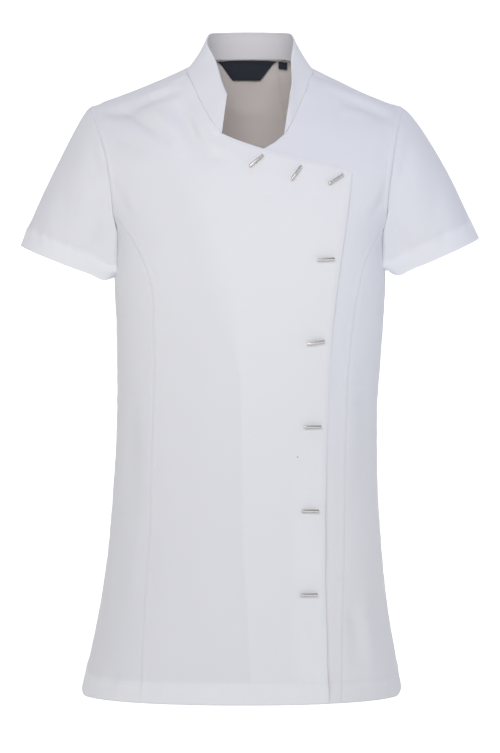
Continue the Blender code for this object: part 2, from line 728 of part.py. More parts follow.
def neck_seam(share):
    """The neck seam from the wrap's notch round the back to the left front."""
    low = FRONT_YOKE[-1][0]
    notch = level_at(FRONT, NECK[-1][1], NECK[-1][0])
    level = np.linspace(notch, low, SEAM_SAMPLES)
    pieces = []
    right_x = straight(NECK, NECK_COLUMNS, "right_x")
    across = across_at(FRONT, level, right_x)
    right = on_form(FRONT, across, level)
    lift = wrap_lift(right)[..., None]
    pieces.append(right + outward(FRONT, across, level) * lift)
    neck_x = smooth(column(BACK_NECK, BACK_NECK_COLUMNS, "level"),
                    column(BACK_NECK, BACK_NECK_COLUMNS, "x"))
    climb = np.linspace(BACK_YOKE[-1][0], NAPE_LEVEL, SEAM_SAMPLES)
    back_right = across_of(BACK, -neck_x(climb), climb)
    back_left = across_of(BACK, neck_x(climb), climb)
    pieces.append(on_form(BACK, back_right, climb))
    nape = np.linspace(back_right[-1], back_left[-1], NAPE_SAMPLES)
    pieces.append(on_form(BACK, nape, np.full_like(nape, NAPE_LEVEL)))
    pieces.append(on_form(BACK, back_left[::-1], climb[::-1]))
    left_x = straight(NECK, NECK_COLUMNS, "left_x")
    left_notch = level_at(FRONT, NECK[-1][2], NECK[-1][0])
    level = np.linspace(low, left_notch, SEAM_SAMPLES)
    pieces.append(on_form(FRONT, across_at(FRONT, level, left_x), level))
    line = np.concatenate(pieces)
    run = np.concatenate([[0.0], np.cumsum(np.linalg.norm(np.diff(line, axis=0), axis=1))])
    run = run / run[-1]
    return np.stack([np.interp(share, run, line[:, i]) for i in range(3)], axis=-1)


def collar_points(shares, rows):
    """Rows of the collar from the neck seam up to its top edge."""
    share = np.linspace(0.0, 1.0, shares + 1)
    foot = neck_seam(share)
    keys = column(COLLAR_TOP, COLLAR_COLUMNS, "share")
    top = np.stack([smooth(keys, column(COLLAR_TOP, COLLAR_COLUMNS, name))(share)
                    for name in ("x", "y", "z")], axis=-1)
    rise = top - foot
    foot = foot + rise / np.linalg.norm(rise, axis=-1, keepdims=True) * COLLAR_GAP
    along = np.gradient(foot, axis=0)
    out = np.cross(rise, along)
    out = out / np.linalg.norm(out, axis=-1, keepdims=True)
    grid = []
    for t in np.linspace(0.0, 1.0, rows):
        grid.append(foot + (top - foot) * t + out * COLLAR_SWELL * 4.0 * t * (1.0 - t))
    return np.array(grid)


def collar(material):
    """The stand collar, open at the front."""
    points = collar_points(COLLAR_SHARES, COLLAR_ROWS)
    return cloth_sheet("stand_collar", points, material, thickness=COLLAR_CLOTH)


# ------------------------------------------------------------------ neck tape and labels


def inside_back(x, level, inset):
    """Points inside the back panels, that far in from their outer face."""
    across = across_of(BACK, x, level)
    return on_form(BACK, across, level) - outward(BACK, across, level) * inset


def neck_tape(material):
    """The tape that covers the back neck seam on the inside."""
    x = TAPE_HALF * (2.0 * even(TAPE_COLUMNS) - 1.0)
    rows = [inside_back(x, np.full_like(x, level), CLOTH + LABEL_GAP)
            for level in (NAPE_LEVEL - SEAM_GAP, NAPE_LEVEL - TAPE_WIDTH)]
    return cloth_sheet("neck_tape", np.array(rows), material, thickness=LABEL_CLOTH)


def label(row, material):
    """A blank woven label that hangs below the neck tape."""
    size = dict(zip(LABEL_COLUMNS, row))
    rows = []
    for t in even(LABEL_ROWS):
        left = size["top_left"] + (size["foot_left"] - size["top_left"]) * t
        right = size["top_right"] + (size["foot_right"] - size["top_right"]) * t
        x = left + (right - left) * even(LABEL_WIDTHS)
        level = np.full_like(x, size["top"] - LABEL_DROP - size["height"] * t)
        rows.append(inside_back(x, level, CLOTH + LABEL_GAP))
    return cloth_sheet(size["name"], np.array(rows), material, thickness=LABEL_CLOTH)


# ------------------------------------------------------------------ bar buttons


def wrap_faces(wrap):
    """A search tree of the wrap's outer face, to seat what lies on it."""
    return BVHTree.FromPolygons([vertex.co for vertex in wrap.data.vertices],
                                [face.vertices for face in wrap.data.polygons])


def bar_button(number, row, wrap, material):
    """A round metal bar on a short shank, seated on the wrap."""
    size = dict(zip(BAR_COLUMNS, row))
    inwards = Vector((0.0, 1.0, 0.0))
    before = Vector((size["x"], -1.0, size["height"]))
    hit, up, _, _ = wrap.ray_cast(before, inwards)
    if up.y > 0.0:
        up = -up
    proud = 0.0
    for step in range(BAR_SIDES):
        swing = 2.0 * math.pi * step / BAR_SIDES
        offset = Vector((math.cos(swing), 0.0, math.sin(swing))) * SHANK_RADIUS
        near = wrap.ray_cast(before + offset, inwards)[0]
        proud = max(proud, (near - hit).dot(up))
    seat = hit + up * (BAR_SEAT + proud)
    tilt = math.radians(size["angle"])
    along = Vector((math.cos(tilt), 0.0, math.sin(tilt)))
    along = (along - up * along.dot(up)).normalized()
    side = up.cross(along)
    turn = Matrix((along, side, up)).transposed().to_4x4()
    turn.translation = seat

    bar_mesh = bpy.data.meshes.new("bar_button_%d" % number)
    bar = bmesh.new()
    lie = Matrix.Rotation(math.pi / 2.0, 4, "Y")
    raise_bar = Matrix.Translation((0.0, 0.0, SHANK_RISE + BAR_RADIUS))
    bmesh.ops.create_cone(bar, cap_ends=True, segments=BAR_SIDES, radius1=BAR_RADIUS,
                          radius2=BAR_RADIUS, depth=BAR_LENGTH, matrix=raise_bar @ lie)
    rims = [edge for edge in bar.edges if len(edge.link_faces) == 2
            and max(len(face.verts) for face in edge.link_faces) == BAR_SIDES]
    bmesh.ops.bevel(bar, geom=rims, offset=BAR_RADIUS * BAR_ROUNDING, affect="EDGES", segments=2,
                    profile=0.5, material=-1)
    bar.to_mesh(bar_mesh)
    bar.free()
    thing = add_object("bar_button_%d" % number, bar_mesh, material)
    thing.matrix_world = turn

    shank_mesh = bpy.data.meshes.new("shank_%d" % number)
    shank = bmesh.new()
    depth = SHANK_RISE + BAR_RADIUS
    stand = Matrix.Translation((0.0, 0.0, depth / 2.0))
    bmesh.ops.create_cone(shank, cap_ends=True, segments=SHANK_SIDES, radius1=SHANK_RADIUS,
                          radius2=SHANK_RADIUS, depth=depth, matrix=stand)
    shank.to_mesh(shank_mesh)
    shank.free()
    post = bpy.data.objects.new("shank_%d" % number, shank_mesh)
    post.matrix_world = turn
    post.hide_render = True
    post.display_type = "WIRE"
    cutters.objects.link(post)
    join = thing.modifiers.new("shank", "BOOLEAN")
    join.operation = "UNION"
    join.solver = "EXACT"
    join.object = post
    return thing


# ------------------------------------------------------------------ build


def build():
    """Clear the scene and make every piece."""
    for thing in list(bpy.data.objects):
        bpy.data.objects.remove(thing, do_unlink=True)
    bpy.context.scene.collection.children.link(collection)
    bpy.context.scene.collection.children.link(cutters)
    poplin, collar_cloth, tape, navy, metal = [finish(row) for row in FINISHES]
    wrap = wrap_faces(right_centre_front(poplin))
    left_centre_front(poplin)
    side_front("right", poplin)
    side_front("left", poplin)
    centre_back(poplin)
    side_back("right", poplin)
    side_back("left", poplin)
    sleeve("right", poplin)
    sleeve("left", poplin)
    collar(collar_cloth)
    neck_tape(tape)
    for row in LABELS:
        label(row, navy)
    for number, row in enumerate(BARS, start=1):
        bar_button(number, row, wrap, metal)


build()
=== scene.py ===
"""Looks of the beautician tunic: white poplin panels, a stand collar and slim metal bars.

Metres, +Z up, the front faces -Y and +X is the wearer's left.  Each cut piece is a fine grid on
the garment's form, creased from the tables below, with a thin wall of cloth.
"""

import math

import bmesh
import bpy
import numpy as np
from mathutils import Matrix, Vector
from mathutils.bvhtree import BVHTree


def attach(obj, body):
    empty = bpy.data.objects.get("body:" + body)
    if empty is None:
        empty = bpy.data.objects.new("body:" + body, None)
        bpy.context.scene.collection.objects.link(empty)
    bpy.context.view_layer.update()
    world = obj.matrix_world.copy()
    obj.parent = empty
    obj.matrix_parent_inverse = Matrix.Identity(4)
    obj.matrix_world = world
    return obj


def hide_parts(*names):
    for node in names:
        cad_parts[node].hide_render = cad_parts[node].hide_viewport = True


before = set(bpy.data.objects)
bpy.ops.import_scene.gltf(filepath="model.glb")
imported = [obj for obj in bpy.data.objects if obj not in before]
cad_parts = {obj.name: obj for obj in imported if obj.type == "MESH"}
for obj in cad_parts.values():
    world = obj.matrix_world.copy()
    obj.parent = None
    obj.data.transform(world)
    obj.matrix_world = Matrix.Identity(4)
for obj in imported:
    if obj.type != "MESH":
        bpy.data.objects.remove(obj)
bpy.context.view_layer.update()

# ------------------------------------------------------------------ sizes

MILLIMETRE = 0.001
CLOTH = 0.0006            # a panel's one layer of poplin
WRAP_CLOTH = 0.0010       # the wrap is doubled by its facing
COLLAR_CLOTH = 0.0014
LABEL_CLOTH = 0.0005
LAYER_LIFT = 0.0022       # how far the wrap stands over the front under it
INSET = 0.0016            # from the outer face of the back to what lies inside it
HEM_DEPTH = 0.0262
SLEEVE_HEM_DEPTH = 0.0236
GRID = 0.0027             # size of a grid's cells
WIDTHS = {"wrap": 0.30, "under": 0.20, "side_front": 0.085, "centre_back": 0.17,
          "side_back": 0.15}
NUDGE = 0.002             # a slope is measured this far to either side
SLUMP_STEPS = 8           # steps that find x where an edge has slumped
LINE_STEPS = 40           # steps that find where a line crosses a level
HALVINGS = 50             # halvings that find a level
SEAM_SAMPLES = 60
NAPE_SAMPLES = 30
ARMHOLE_SAMPLES = 90
SIDES = {"left": 1.0, "right": -1.0}      # the wearer's sides, and which way x grows there


def table(names, rows):
    """The named columns of a table, as arrays."""
    return {name: np.array(values) for name, values in zip(names.split(), zip(*rows))}


# Torso from the hem to the underarm: one row a height.  "fullness" is the exponent of the
# section, which is 2 for an ellipse and more for a fuller, flatter one.
TORSO = table("height half_width front_depth back_depth shift fullness", (
    (-0.7440, 0.1915, 0.1330, 0.1345, -0.0102, 2.30),
    (-0.6850, 0.1802, 0.1290, 0.1345, -0.0084, 2.30),
    (-0.6280, 0.1704, 0.1255, 0.1315, -0.0072, 2.30),
    (-0.5700, 0.1634, 0.1200, 0.1245, -0.0060, 2.30),
    (-0.5120, 0.1590, 0.1135, 0.1145, -0.0054, 2.30),
    (-0.4550, 0.1566, 0.1070, 0.1035, -0.0042, 2.30),
    (-0.4120, 0.1560, 0.1040, 0.0970, -0.0036, 2.32),
    (-0.3540, 0.1577, 0.1050, 0.0925, -0.0018, 2.38),
    (-0.2960, 0.1603, 0.1105, 0.0950, -0.0003, 2.52),
    (-0.2500, 0.1622, 0.1155, 0.1010, 0.0000, 2.74),
    (-0.2080, 0.1600, 0.1172, 0.1065, 0.0000, 3.00),
))

# Above the underarm: one row a level, with the centre line and the armhole edge.  "turn" is
# how many degrees the section turns from the centre to its edge (90 is a whole quarter), and
# "slump" moves both edges the same way, as the garment hangs lower on its left shoulder.
YOKE_COLUMNS = "level centre_y centre_z edge_x edge_y edge_z turn fullness slump"
FRONT_YOKE = table(YOKE_COLUMNS, (
    (-0.202, -0.1169, -0.2020, 0.1598, -0.0135, -0.2057, 88.2, 3.00, 0.0000),
    (-0.196, -0.1163, -0.1960, 0.1597, -0.0270, -0.2035, 84.7, 3.00, 0.0000),
    (-0.184, -0.1145, -0.1830, 0.1598, -0.0440, -0.1940, 78.7, 3.00, 0.0000),
    (-0.170, -0.1115, -0.1680, 0.1605, -0.0570, -0.1790, 72.4, 3.00, 0.0000),
    (-0.150, -0.1055, -0.1460, 0.1628, -0.0655, -0.1550, 65.9, 3.00, 0.0000),
    (-0.127, -0.0965, -0.1200, 0.1665, -0.0660, -0.1270, 61.6, 3.00, 0.0000),
    (-0.105, -0.0850, -0.0940, 0.1710, -0.0590, -0.1020, 58.6, 2.90, -0.0008),
    (-0.085, -0.0710, -0.0670, 0.1765, -0.0470, -0.0800, 55.6, 2.70, -0.0018),
    (-0.066, -0.0540, -0.0400, 0.1820, -0.0310, -0.0620, 52.8, 2.45, -0.0030),
    (-0.054, -0.0415, -0.0175, 0.1852, -0.0185, -0.0525, 50.8, 2.25, -0.0040),
    (-0.045, -0.0300, -0.0020, 0.1869, -0.0095, -0.0470, 49.2, 2.14, -0.0044),
    (-0.038, -0.0200, 0.0080, 0.1875, -0.0030, -0.0445, 48.6, 2.10, -0.0046),
))
BACK_YOKE = table(YOKE_COLUMNS, (
    (-0.200, 0.1073, -0.1996, 0.1598, 0.0140, -0.2056, 87.8, 3.00, 0.0000),
    (-0.192, 0.1080, -0.1910, 0.1597, 0.0280, -0.2030, 83.8, 3.00, 0.0000),
    (-0.176, 0.1095, -0.1740, 0.1602, 0.0460, -0.1920, 77.1, 3.00, 0.0000),
    (-0.154, 0.1105, -0.1500, 0.1630, 0.0600, -0.1680, 70.6, 3.00, 0.0000),
    (-0.126, 0.1100, -0.1200, 0.1675, 0.0640, -0.1350, 66.0, 3.00, 0.0000),
    (-0.098, 0.1070, -0.0900, 0.1725, 0.0590, -0.1050, 62.4, 2.90, -0.0008),
    (-0.070, 0.1005, -0.0580, 0.1780, 0.0470, -0.0790, 58.6, 2.70, -0.0020),
    (-0.044, 0.0900, -0.0270, 0.1830, 0.0310, -0.0605, 54.6, 2.45, -0.0030),
    (-0.022, 0.0770, -0.0010, 0.1862, 0.0160, -0.0500, 51.8, 2.25, -0.0038),
    (-0.004, 0.0630, 0.0232, 0.1875, 0.0070, -0.0455, 49.6, 2.14, -0.0043),
    (0.016, 0.0350, 0.0245, 0.1878, 0.0020, -0.0438, 48.6, 2.10, -0.0046),
    (0.032, 0.0080, 0.0220, 0.1878, 0.0000, -0.0438, 48.6, 2.10, -0.0046),
    (0.042, -0.0080, 0.0165, 0.1877, -0.0015, -0.0441, 48.6, 2.10, -0.0046),
    (0.050, -0.0200, 0.0080, 0.1875, -0.0030, -0.0445, 48.6, 2.10, -0.0046),
))
QUARTER = 90.0            # the turn of every section below the underarm
SOFTENING = 0.016         # the centre line is averaged this far to either side
HEM_LEVEL = TORSO["height"][0]
UNDERARM = TORSO["height"][-1]
FRONT_TOP = FRONT_YOKE["level"][-1]       # the shoulder seam, reached from the front
BACK_TOP = BACK_YOKE["level"][-1]         # and from the back

# How far a section has dropped from its centre to its edge: level across the nape, then down
# beside the neck and along the shoulder.
DROP = table("across share", (
    (0.0, 0.0), (0.12, 0.008), (0.235, 0.04), (0.3, 0.115), (0.36, 0.205), (0.42, 0.29),
    (0.5, 0.403), (0.6, 0.533), (0.7, 0.66), (0.8, 0.778), (0.9, 0.89), (1.0, 1.0),
))

# Seam and edge lines of the front, as x at a height.
PRINCESS = table("height right_x left_x", (
    (-0.744, -0.1275, 0.1055), (-0.64, -0.1225, 0.108), (-0.53, -0.117, 0.1103),
    (-0.43, -0.1142, 0.1132), (-0.35, -0.1121, 0.1172), (-0.29, -0.1125, 0.1232),
    (-0.254, -0.1169, 0.1292), (-0.23, -0.126, 0.1358), (-0.208, -0.1365, 0.1465),
    (-0.193, -0.147, 0.1565), (-0.176, -0.16, 0.169),
))
PRINCESS_TOP = {"right": -0.1695, "left": -0.1790}      # level where it meets the armhole

NECK = table("height right_x left_x", (
    (-0.003, -0.0742, 0.0742), (-0.025, -0.0648, 0.0662), (-0.049, -0.0544, 0.0568),
    (-0.069, -0.0434, 0.0482), (-0.083, -0.0328, 0.04),
))
WRAP_TOP = (
    (-0.083, -0.0328), (-0.0895, -0.019), (-0.0955, -0.003), (-0.1016, 0.014), (-0.1073, 0.0333),
    (-0.1147, 0.0603), (-0.1205, 0.09), (-0.1262, 0.111), (-0.131, 0.1187),
)
WRAP_SIDE = (                 # goes on from the last row of the wrap's top
    (-0.1591, 0.1154), (-0.1974, 0.1098), (-0.2247, 0.1054), (-0.264, 0.1003), (-0.3133, 0.0952),
    (-0.3631, 0.0919), (-0.4225, 0.0898), (-0.5266, 0.0866), (-0.601, 0.0864), (-0.744, 0.09),
)
UNDER_EDGE = (
    (-0.083, 0.04), (-0.0935, 0.0285), (-0.1016, 0.015), (-0.119, -0.009), (-0.124, -0.015),
    (-0.412, -0.0186), (-0.744, -0.025),
)
WRAP_LIFT_START = -0.0820     # x where the wrap begins to rise over the front under it
WRAP_LIFT_RUN = 0.0400

# Back: seams from the neck down, and the neckline from them to the shoulder seams.
BACK_SEAM = table("height x", (
    (-0.744, 0.095), (-0.57, 0.083), (-0.412, 0.072), (-0.3, 0.0715), (-0.2, 0.064), (-0.1, 0.05),
    (0.0205, 0.033),
))
NAPE_LEVEL = -0.0030
BACK_NECK = table("level x", (
    (-0.003, 0.033), (0.006, 0.049), (0.016, 0.061), (0.03, 0.071), (0.05, 0.0742),
))

# The hem ring of each sleeve: slant is degrees below level, crown is how full the top is.
CUFF_COLUMNS = ("out", "height", "slant", "radius_across", "crown")
CUFF = {
    "right": (0.2195, -0.2303, 21.0, 0.0590, 0.90),
    "left": (0.2214, -0.2235, 23.6, 0.0572, 1.80),
}
CUFF_RADIUS_DEPTH = 0.0500
CUFF_TIP = 0.0045                     # the front of the cuff hangs this much lower
CUFF_PULL = 0.075                     # how far the cuff's own direction reaches up the sleeve
CUFF_PULL_LOSS = 0.55                 # share of that lost at the underarm
SLEEVE_CELLS = 180                    # round a sleeve
SLEEVE_RINGS = 64
SLEEVE_EDGE_RING = 0.0016             # share of the sleeve between its last two rings
SLEEVE_UNEVEN = (0.0006, 0.10)        # height and length of its bumps
SLEEVE_SPLIT = 0.03                   # depth over which its front becomes its back
SLEEVE_TUCK = 0.0026                  # how far its edge is tucked inside the armhole

# How the cloth leaves the armhole, from the shoulder (share 0) round the underarm (0.5).
SLEEVE_LEAVE = table("share out back down reach", (
    (0.00, 0.90, 0.00, 0.44, 0.050),
    (0.12, 0.72, -0.18, 0.66, 0.075),
    (0.25, 0.55, 0.00, 0.83, 0.090),
    (0.38, 0.34, 0.18, 0.92, 0.060),
    (0.50, 0.16, 0.00, 0.98, 0.030),
    (0.62, 0.34, -0.18, 0.92, 0.060),
    (0.75, 0.55, 0.00, 0.83, 0.090),
    (0.88, 0.72, 0.18, 0.66, 0.075),
    (1.00, 0.90, 0.00, 0.44, 0.050),
))

# Collar: its top edge, round from the right front corner, at shares of the neck seam.
COLLAR_TOP = table("share x y z", (
    (0.0, -0.027, -0.054, -0.0345), (0.1, -0.0335, -0.044, -0.017), (0.2, -0.0405, -0.027, 0.008),
    (0.3, -0.052, -0.005, 0.035), (0.37, -0.05, 0.019, 0.0475), (0.43, -0.034, 0.04, 0.0515),
    (0.5, 0.0, 0.049, 0.053), (0.57, 0.034, 0.04, 0.0515), (0.63, 0.05, 0.019, 0.0475),
    (0.7, 0.0528, -0.005, 0.035), (0.8, 0.049, -0.029, 0.008), (0.9, 0.05, -0.049, -0.017),
    (1.0, 0.0472, -0.062, -0.035),
))
COLLAR_CELLS = 210                    # round the neck
COLLAR_ROWS = 26
COLLAR_SEAT = 0.0012                  # how far its foot goes down into the seam
COLLAR_PASSES = {"foot": 6, "top": 10}     # how often each edge is evened out
COLLAR_UNEVEN = (0.0005, 0.05)
COLLAR_STITCH = 0.0048                # from the top edge to the row of stitches
COLLAR_STITCH_DEPTH = 0.00025

# Inside the back neck.
TAPE_HALF = 0.0440
TAPE_WIDTH = 0.0034
TAPE_OVER = 0.0008                    # how far the tape stands over the seam
TAPE_CELLS = (40, 4)

LABEL_COLUMNS = ("name", "top_left", "top_right", "foot_left", "foot_right", "top", "height")
LABELS = (
    ("neck_label", -0.0400, 0.0330, -0.0215, 0.0125, -0.0068, 0.0155),
    ("size_tab", 0.0350, 0.0460, 0.0352, 0.0458, -0.0068, 0.0066),
)
LABEL_LEAN = 0.0006                   # how far a label's foot stands off the cloth
LABEL_CELLS = (30, 14)
LABEL_UNEVEN = (0.0003, 0.02)

# Bar buttons, down the wrap: x and height of the centre, and degrees of lean above level.
BARS = (
    (0.0074, -0.117, 45.0), (0.0537, -0.1312, 57.0), (0.0993, -0.1382, 37.0),
    (0.087, -0.231, 2.0), (0.0755, -0.3268, 7.0), (0.0722, -0.425, 1.0), (0.0691, -0.522, 0.0),
    (0.067, -0.618, 1.0),
)
BAR_LENGTH = 0.0215
BAR_RADIUS = 0.0017
BAR_EDGE = 0.55                       # share of the radius that is eased at the ends
BAR_EDGE_STEPS = 4
BAR_FACETS = 28
FLAT_CORNERS = 12                     # a face with this many corners or more is a flat end
SHANK_RADIUS = 0.0014
SHANK_SPREAD = 1.15                   # how much wider its foot is
SHANK_FACETS = 20
SHANK_RISE = 0.0012                   # cloth to the underside of the bar
SHANK_SINK = 0.0004                   # how far its foot goes into the cloth

# ------------------------------------------------------------------ curves through tables


def hermite(t):
    """Weights of a start, its slope, an end and its slope, t of the way along."""
    return ((1.0 + 2.0 * t) * (1.0 - t) ** 2, t * (1.0 - t) ** 2,
            t * t * (3.0 - 2.0 * t), t * t * (t - 1.0))


def in_order(knots, values):
    """Two columns, sorted by the first."""
    order = np.argsort(knots)
    return np.asarray(knots, dtype=float)[order], np.asarray(values, dtype=float)[order]


def smooth(knots, values):
    """A curve through a table that never swings past its rows."""
    knots, values = in_order(knots, values)
    step = np.diff(knots)
    rise = np.diff(values) / step
    slope = np.concatenate([rise[:1], np.zeros(len(rise) - 1), rise[-1:]])
    for i in range(1, len(rise)):
        if rise[i - 1] * rise[i] > 0.0:
            before = 2.0 * step[i] + step[i - 1]
            after = step[i] + 2.0 * step[i - 1]
            slope[i] = (before + after) / (before / rise[i - 1] + after / rise[i])

    def at(where):
        where = np.clip(where, knots[0], knots[-1])
        i = np.clip(np.searchsorted(knots, where) - 1, 0, len(step) - 1)
        start, leave, end, arrive = hermite((where - knots[i]) / step[i])
        return (start * values[i] + leave * step[i] * slope[i] + end * values[i + 1]
                + arrive * step[i] * slope[i + 1])

    return at


def softened(knots, values):
    """The same curve averaged over a short way, which ends where the curve does."""
    sharp = smooth(knots, values)
    offsets = np.linspace(-1.0, 1.0, 9)
    weights = 1.1 - np.abs(offsets)

    def at(where):
        reach = np.clip(np.minimum(where - min(knots), max(knots) - where), 0.0, SOFTENING)
        total = sum(w * sharp(where + o * reach) for w, o in zip(weights, offsets))
        return total / sum(weights)

    return at


def straight(knots, values):
    """A polyline through a table."""
    knots, values = in_order(knots, values)
    return lambda where: np.interp(where, knots, values)


def ease(t):
    """0 to 1 with soft ends."""
    t = np.clip(t, 0.0, 1.0)
    return t * t * (3.0 - 2.0 * t)


def fade(value, start, end):
    """0 at the start, 1 at the end and soft between them."""
    return ease((value - start) / (end - start))


def hump(distance, width, middle=0.0):
    """1 at the middle, and soft to nothing on either side."""
    return np.exp(-((distance - middle) / width) ** 2)


def unit(vectors):
    """Vectors brought to a length of 1."""
    return vectors / np.maximum(np.linalg.norm(vectors, axis=-1, keepdims=True), 1e-12)


def run_of(line):
    """Metres along a line to each of its points."""
    steps = np.linalg.norm(np.diff(line, axis=0), axis=1)
    return np.concatenate([[0.0], np.cumsum(steps)])


def point_at(line, run, where):
    """Points of a line at places along it."""
    return np.stack([np.interp(where, run, values) for values in line.T], axis=-1)


def even(count):
    """The shares of that many equal steps, from 0 to 1."""
    return np.linspace(0.0, 1.0, count + 1)


# ------------------------------------------------------------------ the garment's form


def side_form(yoke, depth, facing):
    """The smooth columns of the front (facing -1) or the back (facing 1)."""
    height = TORSO["height"]
    flat = np.zeros_like(height)
    torso = {
        "centre_y": facing * depth,
        "centre_z": height,
        "edge_x": TORSO["half_width"],
        "edge_y": flat,
        "edge_z": height,
        "turn": flat + QUARTER,
        "fullness": TORSO["fullness"],
        "slump": flat,
    }
    level = np.concatenate([height, yoke["level"]])
    form = {"facing": facing, "shift": smooth(height, TORSO["shift"])}
    for name, values in torso.items():
        curve = softened if name == "centre_y" else smooth
        form[name] = curve(level, np.concatenate([values, yoke[name]]))
    return form


FRONT = side_form(FRONT_YOKE, TORSO["front_depth"], -1.0)
BACK = side_form(BACK_YOKE, TORSO["back_depth"], 1.0)
DROP_CURVE = smooth(DROP["across"], DROP["share"])


def reach_of(form, level):
    """How much of its full width each section reaches before it is cut off."""
    return np.sin(np.radians(np.clip(form["turn"](level), 0.0, QUARTER)))


def bow(across, turned, power):
    """How far a section has gone from its centre depth to its edge depth."""
    reach = np.clip(np.abs(across) * turned, 0.0, 1.0)
    full = 1.0 - (1.0 - turned ** power) ** (1.0 / power)
    return (1.0 - (1.0 - reach ** power) ** (1.0 / power)) / full


def on_form(form, across, level):
    """Points of the form, as an array ending in x, y, z."""
    across, level = np.broadcast_arrays(np.asarray(across, float), np.asarray(level, float))
    now = {name: curve(level) for name, curve in form.items() if name != "facing"}
    x = now["shift"] + now["edge_x"] * across + now["slump"] * across ** 2
    share = bow(across, reach_of(form, level), now["fullness"])
    y = now["centre_y"] + (now["edge_y"] - now["centre_y"]) * share
    z = now["centre_z"] + (now["edge_z"] - now["centre_z"]) * DROP_CURVE(np.abs(across))
    return np.stack([x, y, z], axis=-1)


def outward(form, across, level):
    """Unit normals of the form, out of the garment."""
    inner = np.clip(across, -0.99, 0.99)
    along = on_form(form, inner + NUDGE, level) - on_form(form, inner - NUDGE, level)
    up = on_form(form, inner, level + NUDGE) - on_form(form, inner, level - NUDGE)
    return unit(np.cross(along, up) * -form["facing"])


def across_of(form, x, level):
    """The across value of x at a level."""
    across = 0.0
    for _ in range(SLUMP_STEPS):
        slumped = x - form["shift"](level) - form["slump"](level) * across ** 2
        across = slumped / form["edge_x"](level)
    return across


def across_at(form, level, x_at_height):
    """Where a line given as x at a height crosses each level, as an across value."""
    across = np.zeros_like(level)
    for _ in range(LINE_STEPS):
        height = on_form(form, across, level)[..., 2]
        aim = across_of(form, x_at_height(height), level)
        across = np.clip(0.5 * across + 0.5 * aim, -1.0, 1.0)
    return across


def front_level_at(x, height):
    """The level of the point of the front that is at x and height."""
    low, high = HEM_LEVEL, FRONT_TOP
    for _ in range(HALVINGS):
        level = 0.5 * (low + high)
        if on_form(FRONT, across_of(FRONT, x, level), level)[2] < height:
            low = level
        else:
            high = level
    return 0.5 * (low + high)


def between(form, level, left, right, share):
    """Rows of across values at shares of the way round from a left to a right line."""
    turned = reach_of(form, level)
    quarter = np.arcsin(turned)
    start = np.arcsin(np.clip(left * turned, -1.0, 1.0)) / quarter
    end = np.arcsin(np.clip(right * turned, -1.0, 1.0)) / quarter
    place = start[:, None] + (end - start)[:, None] * share[None, :]
    return np.sin(place * quarter[:, None]) / turned[:, None]


def levels_between(low, high, corners):
    """Levels a cell apart that pass through every corner."""
    stops = sorted({low, high} | {c for c in corners if low < c < high})
    levels = [stops[0]]
    for start, end in zip(stops[:-1], stops[1:]):
        count = max(1, round((end - start) / GRID))
        levels.extend(start + (end - start) * (k + 1) / count for k in range(count))
    return np.array(levels)


NOTCH = {side: front_level_at(NECK[side + "_x"][-1], NECK["height"][-1]) for side in SIDES}
FRONT_LEVELS = levels_between(HEM_LEVEL, FRONT_TOP, [
    *NOTCH.values(), *PRINCESS_TOP.values(),
    *(front_level_at(x, height) for height, x in WRAP_TOP[-2:])])


def back_levels(top):
    """Levels of the back rows up to the nape or to the shoulder seam."""
    return levels_between(HEM_LEVEL, top, [UNDERARM, NAPE_LEVEL])


# ------------------------------------------------------------------ creases

